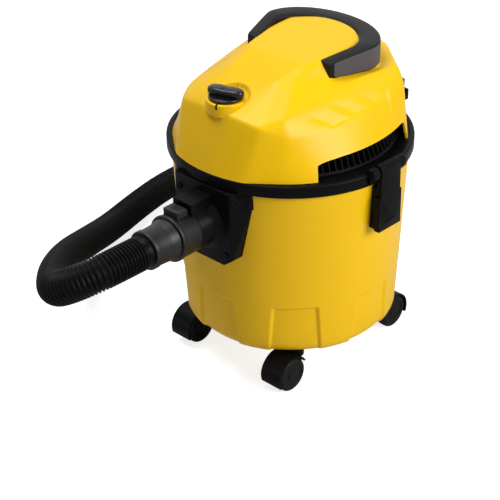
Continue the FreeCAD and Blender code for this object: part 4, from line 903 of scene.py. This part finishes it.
def step_depth(y, z):
    """How deep the steps in the cover's sides are, as a share of the greatest depth.

    A step lies between its line and a second line behind it. With a, b, c and d as a point's
    distances inwards from the step's front, back, top and bottom edges, the share is
    b / (a + b), eased in over the front edge, and eased out where c / (c + d) nears 0 or 1.
    """
    total = np.zeros(y.shape)
    for front, back in SIDE_STEPS:
        (ay, az), (by, bz), (cy, cz), (dy, dz) = *front, *back

        def inward(py, pz, qy, qz):
            away = (y - py) * (qz - pz) - (z - pz) * (qy - py)
            middle = ((ay + by + cy + dy) / 4 - py) * (qz - pz) \
                - ((az + bz + cz + dz) / 4 - pz) * (qy - py)
            return np.sign(middle) * away / np.hypot(qy - py, qz - pz)

        ahead, behind = inward(ay, az, by, bz), np.clip(inward(cy, cz, dy, dz), 0, None)
        above, below = np.clip((inward(ay, az, cy, cz), inward(by, bz, dy, dz)), 0, None)
        across = behind / (np.clip(ahead, 0, None) + behind + 1e-6)
        along = above / (above + below + 1e-6)
        total += (ease(-STEP_EDGE, STEP_EDGE, ahead) * across
                  * ease(0, 0.25, along) * ease(0, 0.12, 1 - along))
    return np.clip(total, 0, 1)


def make_cover():
    """The head's cover: rings of corners joined up the sides, their creases blurred round.

    A point is read from a table in two directions, round the rings and up from the foot to the
    middle of the lid, after a running mean in both. The steps, the trough round the switch,
    the finger pocket and the side cut-outs then move it.
    """
    sizes = bpy.context.scene.vacuum_sizes
    wall, step = sizes.skin_wall * 1000, sizes.groove_depth * 1000
    tables = np.stack([blurred(ring_table(r), 4.2) for r in head_rings()])
    count = tables.shape[1]
    half = count // 2
    # columns, by place round the ring: close together at the switch, the steps and the cut-outs
    right = spaced_runs((0, 34, 1.2), (34, 50, 2.0), (50, 104, 1.8), (104, 140, 0.5),
                        (140, 252, 1.0), (252, 288, 0.8), (288, half, 2.4))
    columns = np.concatenate([right, count - right[::-1][:-1]])
    columns = columns[(columns >= 0) & (columns < count)]
    place = np.arange(count + 1)
    rings = np.stack([[np.interp(columns, place, np.append(t[:, k], t[0, k])) for k in range(3)]
                      for t in tables]).transpose(0, 2, 1)
    middle = np.array([0.0, 30.0, PAD + 60 * PAD_RISE])
    centre = np.broadcast_to(middle, rings.shape[1:])[None]
    stops = np.concatenate([rings, centre])
    runs = (62, 10, 46, 30, 60)
    tall = np.concatenate([stops[i] + (stops[i + 1] - stops[i]) * (np.arange(n) / n)[:, None, None]
                           for i, n in enumerate(runs)] + [stops[-1:]])
    tall = blurred(tall, 2.9, wrap=False)
    # rows, by place up the table
    ends = np.cumsum((0,) + runs)
    rows = np.concatenate([np.linspace(0, 30, 9), np.linspace(32, ends[2], 36),
                           np.linspace(ends[2] + 1.0, ends[3], 46),
                           np.linspace(ends[3] + 2, ends[4], 10),
                           np.linspace(ends[4] + 4, ends[5], 12)])

    def read(rows):
        """Rows as shares of the table, one value for each column or for all."""
        rows = np.broadcast_to(rows, (len(rows), len(columns)))
        low = np.clip(np.floor(rows).astype(int), 0, len(tall) - 2)
        part = (rows - low)[..., None]
        which = np.arange(len(columns))[None]
        return tall[low, which] * (1 - part) + tall[low + 1, which] * part

    first = np.zeros(len(columns))
    for _ in range(6):  # the cut-out's edge leans inwards, so its place is found in a few goes
        x, y, z = read(first[None])[0].T
        want = np.where(np.abs(x) > 62, np.interp(y, *zip(*VENT_EDGE)), DECK)
        first = np.clip(first + (want - z) * 0.95, 0, 40)
    shoulder = float(runs[0])

    def from_edge(rows):
        """The table's points at rows that start at the cut-out's edge below the shoulder."""
        rows = rows[:, None]
        return read(np.where(rows < shoulder, first + rows * (shoulder - first) / shoulder, rows))

    outer = from_edge(rows)

    def normals(grid):
        around = np.roll(grid, -1, 1) - np.roll(grid, 1, 1)
        upward = np.gradient(grid, axis=0)
        n = np.cross(around, upward)
        return n / (np.linalg.norm(n, axis=-1)[..., None] + 1e-9)

    def shaped(grid, inset):
        """Sinks the trough round the switch and the finger pocket, less for the inner wall."""
        grid = grid.copy()
        x, y, z = np.moveaxis(grid, -1, 0)
        out = np.hypot(x, y - PEDESTAL_Y) - inset
        deep = np.maximum(z - (PEDESTAL_TOP - 0.5 - inset), 0)
        grid[..., 2] -= deep * (1 - ease(26.0, 27.8, out))
        pocket = (np.abs(x) < 40 + inset) & (z > 352 - inset) & (z < 373.5) & (y > 60)
        grid[..., 1] = np.where(pocket, np.minimum(y, 88 - inset), y)
        return grid

    face = normals(outer)
    if (face[len(face) // 2] * (outer[len(face) // 2] - (0, 0, 250))).sum() < 0:
        face = -face
    x, y, z = np.moveaxis(outer, -1, 0)
    outer = outer - face * (step * np.where(np.abs(x) > 60, step_depth(y, z), 0.0))[..., None]
    inner = from_edge(np.linspace(0, len(tall) - 1, 22))
    inner = (inner - normals(inner) * wall)[::-1]
    inner[0] = middle - (0, 0, wall)
    inner[-1, :, 2] = outer[0, :, 2]
    outer[-1] = middle
    lip = (outer[:1] + inner[-1:]) / 2 - (0, 0, 0.5)
    lip[..., 2] = np.maximum(lip[..., 2], DECK)
    shell = np.concatenate([shaped(inner, wall), lip, shaped(outer, 0.0)])
    Form().grid(shell).piece("cover_shell", "head", "yellow_shell", "head_cover", slot="yellow",
                             crease=50)


def make_pedestal():
    """The round seat of the switch: a turned profile with a rounded top and its pointer line."""
    top = PEDESTAL_TOP
    profile = soften([(0, top - 15), (23.7, top - 15), (23.5, top), (7, top), (7, top - 3),
                      (0, top - 3)], [0, 0.5, 1.4, 0.8, 0.3, 0], closed=False, steps=6)
    Form().lathe(profile, (0, PEDESTAL_Y, 0), steps=96).piece(
        "switch_seat", "head", "yellow_shell", slot="yellow")
    line = [(-18.5, top + 0.25), (-22.9, top + 0.25), (-23.6, top - 0.4), (-23.95, top - 1.8),
            (-23.95, top - 5.2), (-23.2, top - 5.2), (-23.0, top - 1.5), (-22.5, top - 0.5),
            (-18.5, top - 0.5)]
    mark = Form().prism([(y + PEDESTAL_Y, z) for y, z in line], -1.1, 1.1, "yz", 0.15)
    mark.turned(16.6, (0, PEDESTAL_Y, 0))
    mark.piece("switch_pointer", "head", "black_moulding")


def make_knob():
    """The switch's knob: a low disc under a waisted bar.

    The bar's outline is r(u) = half width over the largest of |cos|, |sin| powers, drawn in at
    its waist, and its top is domed.
    """
    foot = PEDESTAL_TOP + 0.4
    u = np.linspace(0, TAU, 96, endpoint=False)
    a, b = 22.3, 9.0
    power = 2.7
    radius = (np.abs(np.cos(u) / a) ** power + np.abs(np.sin(u) / b) ** power) ** (-1 / power)
    x, y = radius * np.cos(u), radius * np.sin(u)
    y = y * (1 - 0.05 * np.exp(-(x / 9.0) ** 2))
    levels = np.array([(0.86, 2.6), (0.93, 3.0), (0.985, 4.2), (1.0, 6.0), (0.995, 8.4),
                       (0.965, 10.2), (0.90, 11.3), (0.76, 11.9), (0.5, 12.1), (0.22, 12.2),
                       (0.0, 12.2)])
    scale, height = levels[:, :1], levels[:, 1:]
    sink = 0.5 * np.exp(-(x / 8.0) ** 2)[None] * ease(5.0, 11.0, height)
    bar = np.stack([x * scale, y * scale, foot + height - sink], -1)
    bar = np.concatenate([np.stack([0 * x, 0 * y, 0 * x + foot + 2.6], -1)[None], bar])
    form = Form().grid(bar)
    disc = soften([(0, foot), (20.2, foot), (20.2, foot + 3.6), (0, foot + 4.0)],
                  [0, 0.5, 1.4, 0], closed=False, steps=5)
    form.lathe(disc, steps=72)
    form.lathe([(0, PEDESTAL_TOP - 13), (4.6, PEDESTAL_TOP - 13), (4.6, foot + 1), (0, foot + 1)],
               steps=32)
    form.points = [p + (0, PEDESTAL_Y, 0) for p in form.points]
    form.turned(18, (0, PEDESTAL_Y, 0))
    form.piece("switch_grip", "knob", "black_gloss", "switch_knob")


def handle_line(half, deep, mid, front_half, steps=56):
    """A U: two straight arms that draw together to the front, and half an oval round the back.

    The oval is half wide and deep long from y = mid, and a running mean rounds off its meeting
    with the arms.
    """
    t = np.linspace(0, math.pi, steps)
    arm = np.linspace(0, 1, 14, endpoint=False)[:, None]
    right = np.array([front_half, HANDLE_FRONT]) + arm * (np.array([half, mid])
                                                          - (front_half, HANDLE_FRONT))
    back = np.stack([half * np.cos(t), mid + deep * np.sin(t)], -1)
    left = (right * (-1, 1))[::-1]
    return blurred(np.vstack([right, back, left]), 1.3, wrap=False)


def handle_top(y):
    """The height of the handle's top: 403, and down to 394.5 over the front of the arms."""
    return HEIGHT - 8.5 * np.clip((50.0 - np.asarray(y)) / 56.0, 0, 1.1) ** 1.1


HANDLE_FRONT = -5.0
HANDLE_OUTER, HANDLE_INNER = (82.5, 58.0, 50.0, 66.0), (60.5, 45.0, 39.0, 48.0)


def make_handle():
    """The carry handle: a rounded section carried along the U between its two edges."""
    outer, inner = handle_line(*HANDLE_OUTER), handle_line(*HANDLE_INNER)
    width = 22.0
    flat = soften([(0, 373), (0, HEIGHT), (width, HEIGHT), (width, 373)], [2.0, 4.0, 2.4, 2.0],
                  steps=7)
    flat = finer(flat, 6.0, closed=True)
    share, height = flat[:, 0] / width, flat[:, 1]
    grid = (inner[:, None] + (outer - inner)[:, None] * share[None, :, None])
    sink = (handle_top(grid[..., 1]) - HEIGHT) * ease(380.0, 394.0, height)[None]
    crown = -0.7 * (2 * share - 1) ** 2 * ease(399.0, 402.5, height)
    grid = np.dstack([grid, height[None] + sink + crown[None]])
    middle = grid.mean(1, keepdims=True)
    # both ends of the arms: the section shrinks over a rounded nose
    noses = []
    for end in (0, -1):
        w = np.linspace(0, math.pi / 2, 7)[1:, None, None]
        w = w[::-1] if end == 0 else w
        ring, core = grid[end][None], middle[end][None]
        size = 1 - 0.24 * (1 - np.cos(w))
        nose = core + (ring - core) * size - np.array([0, 2.4, 0]) * np.sin(w) + (0, 2.4, 0)
        noses.append(nose)
    body = grid.copy()
    body[:, :, 1] = np.maximum(body[:, :, 1], HANDLE_FRONT + 2.4)
    Form().capped(np.concatenate([noses[0], body, noses[1]])).piece(
        "carry_bow", "head", "handle_black", "carry_handle")


def make_grips():
    """The inset panels: rows along each arm, each a ring up the panel's face and back behind it.

    With e as the distance from an edge, the face stands 0.75 - 0.65 (1 - sqrt(1 - (1 - e/0.65)^2))
    proud of the arm.
    """
    line = handle_line(*HANDLE_OUTER, steps=70)
    line = line[(line[:, 0] > 0) & (line[:, 1] <= 76)]
    keep = finer(line, 2.0)
    keep = keep[(keep[:, 1] >= HANDLE_FRONT + 4.2) & (keep[:, 1] <= 71.8)]
    run = lengths(keep)
    ahead = np.gradient(keep, run, axis=0)
    out = np.stack([ahead[:, 1], -ahead[:, 0]], -1)
    out /= np.linalg.norm(out, axis=1)[:, None]
    edge, length = np.array([0, 0.1, 0.3, 0.65]), run[-1]
    along = np.concatenate([edge, np.arange(1.3, length - 1, 1.3), length - edge[::-1]])[:, None]
    near = np.minimum(along, length - along)
    ends = [np.where(along < length / 2, r, 3.0) for r in (7.0, 3.0)]
    drop = [r - np.sqrt(r ** 2 - np.clip(r - near, 0, r) ** 2) for r in ends]
    low, high = 374.8 + drop[0], 400.2 - drop[1]
    span = (high - low) * np.linspace(0, 1, 14)[1:-1] + low
    tall = np.hstack([low + edge, span, high - edge[::-1]])
    e = np.clip(np.minimum(near, np.minimum(tall - low, high - tall)), 0, 0.65)
    proud = 0.75 - 0.65 * (1 - np.sqrt(1 - (1 - e / 0.65) ** 2))
    tall, proud = np.hstack([tall, high, low]), np.pad(proud, ((0, 0), (0, 2)), constant_values=-2)
    x, y, nx, ny = (np.interp(along, run, k) for k in (*keep.T, *out.T))
    tall = tall + (handle_top(y) - HEIGHT) * (tall - 374.8) / (401.6 - 374.8)
    Form().capped(np.stack([x + nx * proud, y + ny * proud, tall], -1)).mirrored().piece(
        "grip_panels", "head", "grip_grey", "handle_grips", slot="grey")


def make_rim():
    """The head's lower casing: the rim collar and deck as one turned profile, and the lugs."""
    profile = soften([(40, 284), (136.5, 284), (136.5, 276), (139.5, 276), (139.5, 282.1),
                      (146, 282.1), (146, RIM_FOOT), (RIM_R, RIM_FOOT), (RIM_R, DECK),
                      (143.5, DECK), (142.5, DECK - 0.5), (40, DECK - 0.5)],
                     [0.5, 0.5, 0.5, 0.8, 0.5, 0.5, 1.0, 1.4, 2.2, 0.5, 0.5, 0.5], steps=4)
    form = Form().lathe(profile, steps=256, close=True)
    for side in (1, -1):
        for low, high in ((17.8, 28.8), (-28.8, -17.8)):
            outline = soften([(147.2 * side, 274.5), (153 * side, 280.5), (156 * side, 284.5),
                              (156 * side, 292.5), (152 * side, 296.0), (146 * side, 296.0),
                              (140 * side, 287.5), (147.2 * side, 283.5)],
                             [0.5, 2, 3, 3.5, 3, 2, 0.5, 0.5])
            form.prism(outline, low, high, "xz", 1.2)
    form.piece("rim_casing", "head", "black_moulding", "head_base", crease=40)


def make_vents():
    """The vents: slats that stand on a slanting belt, between a foot rail and a top rail."""
    z0, z1, thick = DECK, 320.0, 1.35

    def radius(z):
        return 129.0 + (115.0 - 129.0) * (z - z0) / (z1 - z0)

    for side, name in ((1, "right"), (-1, "left")):
        form = Form()
        turn = np.radians(np.linspace(-42, 38, 40))[:, None]
        for low, high in ((z0 + 0.1, z0 + 3.2), (z1 - 3.2, z1 - 0.1)):
            r, z = soften([(radius(low) - 5.5, low), (radius(low) - 0.2, low),
                           (radius(high) - 0.2, high), (radius(high) - 5.5, high)], 0.7, steps=3).T
            form.capped(np.stack([r * np.cos(turn) * side, r * np.sin(turn), z + 0 * turn], -1))
        z = np.linspace(z0 + 1.5, z1 - 1.5, 7)[:, None]
        share, off = np.array([(0, -thick), (1, -thick * 0.45), (1, thick * 0.45), (0, thick)]).T
        r = radius(z) - 5.4 + 5.1 * share
        for angle in np.radians(np.linspace(-38, 33, 20)):
            form.capped(np.stack([(r * math.cos(angle) - off * math.sin(angle)) * side,
                                  r * math.sin(angle) + off * math.cos(angle), z + 0 * r], -1))
        form.piece(f"vent_slats_{name}", "head", "black_dull", f"vent_grille_{name}")


class VACUUM_OT_head(bpy.types.Operator):
    """Makes the cover, rim, vents, switch and handle of the head."""

    bl_idname = "vacuum.head"
    bl_label = "Head"

    def execute(self, context):
        make_cover()
        make_pedestal()
        make_knob()
        make_handle()
        make_grips()
        make_rim()
        make_vents()
        eased_copy("cable_hooks", "cord_hooks", "black_moulding", 1.0)
        eased_copy("cord_gland", "cord_bush", "black_moulding", 0.8)
        return {"FINISHED"}


class VACUUM_OT_latches(bpy.types.Operator):
    """Makes the two side latches."""

    bl_idname = "vacuum.latches"
    bl_label = "Latches"

    def execute(self, context):
        for side in ("left", "right"):
            eased_copy(f"latch_{side}", f"latch_lever_{side}_skin", "black_moulding", 1.3,
                       segments=3)
        return {"FINISHED"}


class VACUUM_OT_casters(bpy.types.Operator):
    """Makes the four swivel casters with their twin wheels."""

    bl_idname = "vacuum.casters"
    bl_label = "Casters"

    def execute(self, context):
        for name, (x, y, out) in CASTERS.items():
            eased_copy(f"caster_fork_{name}", f"caster_hood_{name}", "black_moulding", 0.9)
            wheel = Form()
            for way in (1, -1):
                near, far = 3.6, 15.0
                profile = soften([(3.0, near), (21.5, near), (21.5, far - 1.8), (18.6, far),
                                  (15.2, far), (14.4, far - 1.1), (7.4, far - 1.3), (6.8, far),
                                  (0, far), (0, far - 0.9), (3.0, far - 0.9)],
                                 [0.4, 1.2, 3.6, 1.6, 0.5, 0.5, 0.5, 0.5, 0, 0, 0.2], steps=5)
                wheel.lathe(profile * (1, way), (x, y + 20 * out, 21.5), "x", 72, close=True)
            wheel.piece(f"twin_wheels_{name}", f"wheels_{name}", "tyre_rubber",
                        f"caster_wheels_{name}", slot="wheel")
        return {"FINISHED"}


# ---------------------------------------------------------------------------------------------
# filters


class VACUUM_OT_filters(bpy.types.Operator):
    """Makes the filter basket, the foam sleeve and the cloth bag."""

    bl_idname = "vacuum.filters"
    bl_label = "Filters"

    def execute(self, context):
        eased_copy("filter_basket", "basket_cage", "black_moulding", 0.6)
        profile = soften([(45.4, 209.2), (56.6, 209.2), (57.0, 245), (56.6, 279.5), (45.4, 279.5)],
                         [1.5, 4.0, 30, 4.0, 1.5], steps=7)
        profile = finer(profile, 3.0, closed=True)

        def wave(angle, height):
            """Shallow hollows round the sleeve, only inwards."""
            soft = (np.sin(5 * angle + height * 0.05) + np.sin(8 * angle - height * 0.11 + 1.0))
            return np.where(profile[:, :1] > 50, -0.35 - 0.18 * soft, 0.0)

        sleeve = Form().lathe(profile, steps=140, close=True, wave=wave).piece(
            "foam_sleeve", "head", "foam", "foam_filter", slot="foam")
        make_bag()
        eased_copy("bag_collar", "bag_plate", "collar_card", 0.6, slot="card")
        return {"FINISHED"}


def make_bag():
    """The cloth bag: a pillow between two sheets, joined in a seam all round.

    Its half thickness is T (1 - |x/a|^3.2)^0.5 (1 - |z/b|^3.6)^0.5 with shallow creases, so it
    is fullest in the middle and thins to its seam.
    """
    x = np.sin(np.linspace(-math.pi / 2, math.pi / 2, 60)) * 0.999
    z = np.sin(np.linspace(-math.pi / 2, math.pi / 2, 70)) * 0.999
    xx, zz = np.meshgrid(x, z)
    full = (np.sqrt(np.clip(1 - np.abs(xx) ** 3.2, 0, 1))
            * np.sqrt(np.clip(1 - np.abs(zz) ** 3.6, 0, 1)))
    pleat = (np.sin(9 * xx + 2.2 * zz) * np.cos(4 * zz) + 0.6 * np.sin(15 * zz - 3 * xx)) * 0.05
    half_x, half_z, half_y = 74.0, 88.0, 25.2
    centre_y, centre_z = -96.5, 173.0
    thick = half_y * full * (0.93 + pleat * np.clip(full * 2, 0, 1))
    thick = np.maximum(thick, 0.5)
    px = xx * half_x * (1 - 0.04 * (1 - zz ** 2))
    pz = centre_z + zz * half_z
    # the tank's wall is round, so the bag's front follows it
    room = np.sqrt(np.clip(124.0 ** 2 - px ** 2, 0, None))
    front = np.minimum(np.maximum(centre_y - thick, -room), centre_y - 0.4)
    rear = centre_y + thick
    form = Form().grid(np.stack([px, front, pz], -1), wrap=False)
    form.grid(np.stack([px, rear, pz], -1), wrap=False)
    number = np.arange(xx.size).reshape(xx.shape)
    rim = np.concatenate([number[0], number[1:, -1], number[-1, -2::-1], number[-2:0:-1, 0]])
    ahead = np.roll(rim, -1)
    form.faces += np.stack([rim, ahead, ahead + xx.size, rim + xx.size], -1).tolist()
    bag = form.piece("dust_bag", "tank_assembly", "bag_cloth", "filter_bag", slot="cloth",
                     crease=180)


# ---------------------------------------------------------------------------------------------
# stage


class VACUUM_OT_stage(bpy.types.Operator):
    """Makes the camera, the lamps, the floor and the plain backdrop."""

    bl_idname = "vacuum.stage"
    bl_label = "Stage"

    def execute(self, context):
        scene = context.scene
        scene.view_settings.view_transform = "Standard"
        lens = bpy.data.cameras.new("camera")
        lens.sensor_width, lens.lens = 36.0, 113.9
        lens.shift_x, lens.shift_y = -0.0812, -0.1014
        lens.clip_start, lens.clip_end = 0.05, 50
        camera = in_scene("camera", lens)
        camera.matrix_world = facing((1.1523, -1.2376, 1.135), (0.7363, 0.6767, 0.0),
                                     (0.5918, -0.6440, 0.4849))
        scene.camera = camera

        self.lamp("key", (2.15, 0.3, 1.35), (0, 0, 0.22), 1.1, 46)
        self.lamp("top", (-0.5, -0.35, 2.2), (0, 0, 0.25), 1.2, 34)
        self.lamp("fill", (-1.6, -2.0, 0.9), (0, 0, 0.2), 1.2, 2)

        sky = bpy.data.worlds.new("studio")
        nodes = Shading(sky)
        seen = 0.0
        for ray in ("Is Camera Ray", "Is Glossy Ray", "Is Transmission Ray"):
            seen = nodes.add("ShaderNodeMath", {"operation": "MAXIMUM"},
                             {0: seen, 1: nodes.add("ShaderNodeLightPath", output=ray)})
        dim, white = (nodes.add("ShaderNodeBackground", None,
                                {"Color": (1, 1, 1, 1), "Strength": strength})
                      for strength in (0.065, 1.0))
        nodes.end("ShaderNodeOutputWorld", nodes.add("ShaderNodeMixShader", None,
                                                     {0: seen, 1: dim, 2: white}))
        scene.world = sky

        ground = bpy.data.meshes.new("floor")
        side, low = 6.0, -0.0004
        ground.from_pydata([(-side, -side, low), (side, -side, low), (side, side, low),
                            (-side, side, low)], [], [(0, 1, 2, 3)])
        f = Finish("pale_floor")
        f.surface(Base_Color=(0.66, 0.66, 0.66, 1.0), Roughness=0.75,
                  Emission_Color=f.blend(f.add("ShaderNodeLightPath", output="Is Camera Ray"),
                                         (0, 0, 0), (1, 1, 1)), Emission_Strength=0.8)
        ground.materials.append(f.material)
        in_scene("floor", ground)
        return {"FINISHED"}

    def lamp(self, name, place, target, size, power):
        """A square soft lamp that faces a point."""
        lamp = bpy.data.lights.new(name, "AREA")
        lamp.shape, lamp.size, lamp.energy = "SQUARE", size, power
        back = np.array(place, float) - target
        in_scene(name, lamp).matrix_world = facing(place, np.cross((0, 0, 1), back), back)


def facing(place, right, back):
    """The matrix of a camera or lamp at a place, from its directions to the right and back."""
    right, back = (np.array(way, float) / np.linalg.norm(way) for way in (right, back))
    turn = Matrix([list(row) for row in np.stack([right, np.cross(back, right), back], 1)])
    return Matrix.Translation(place) @ turn.to_4x4()


class VACUUM_PT_panel(bpy.types.Panel):
    """Lists the machine's pieces in the sidebar."""

    bl_label = "Vacuum"
    bl_idname = "VACUUM_PT_panel"
    bl_space_type = "VIEW_3D"
    bl_region_type = "UI"
    bl_category = "Vacuum"

    def draw(self, context):
        for group in (context.scene.vacuum_sizes, context.scene.vacuum_colours):
            for name in group.__annotations__:
                self.layout.prop(group, name)
        for step in STEPS:
            self.layout.operator(step.bl_idname)


STEPS = (VACUUM_OT_stage, VACUUM_OT_hose, VACUUM_OT_tank, VACUUM_OT_head, VACUUM_OT_latches,
         VACUUM_OT_casters, VACUUM_OT_filters)
CLASSES = (MachineSizes, MachineColours, *STEPS, VACUUM_PT_panel)


def register():
    for item in CLASSES:
        bpy.utils.register_class(item)
    bpy.types.Scene.vacuum_sizes = PointerProperty(type=MachineSizes)
    bpy.types.Scene.vacuum_colours = PointerProperty(type=MachineColours)


def unregister():
    del bpy.types.Scene.vacuum_colours
    del bpy.types.Scene.vacuum_sizes
    for item in reversed(CLASSES):
        bpy.utils.unregister_class(item)


def main():
    register()
    dress_solids()
    for step in STEPS:
        getattr(bpy.ops.vacuum, step.bl_idname.split(".")[1])()


if __name__ == "__main__":
    main()
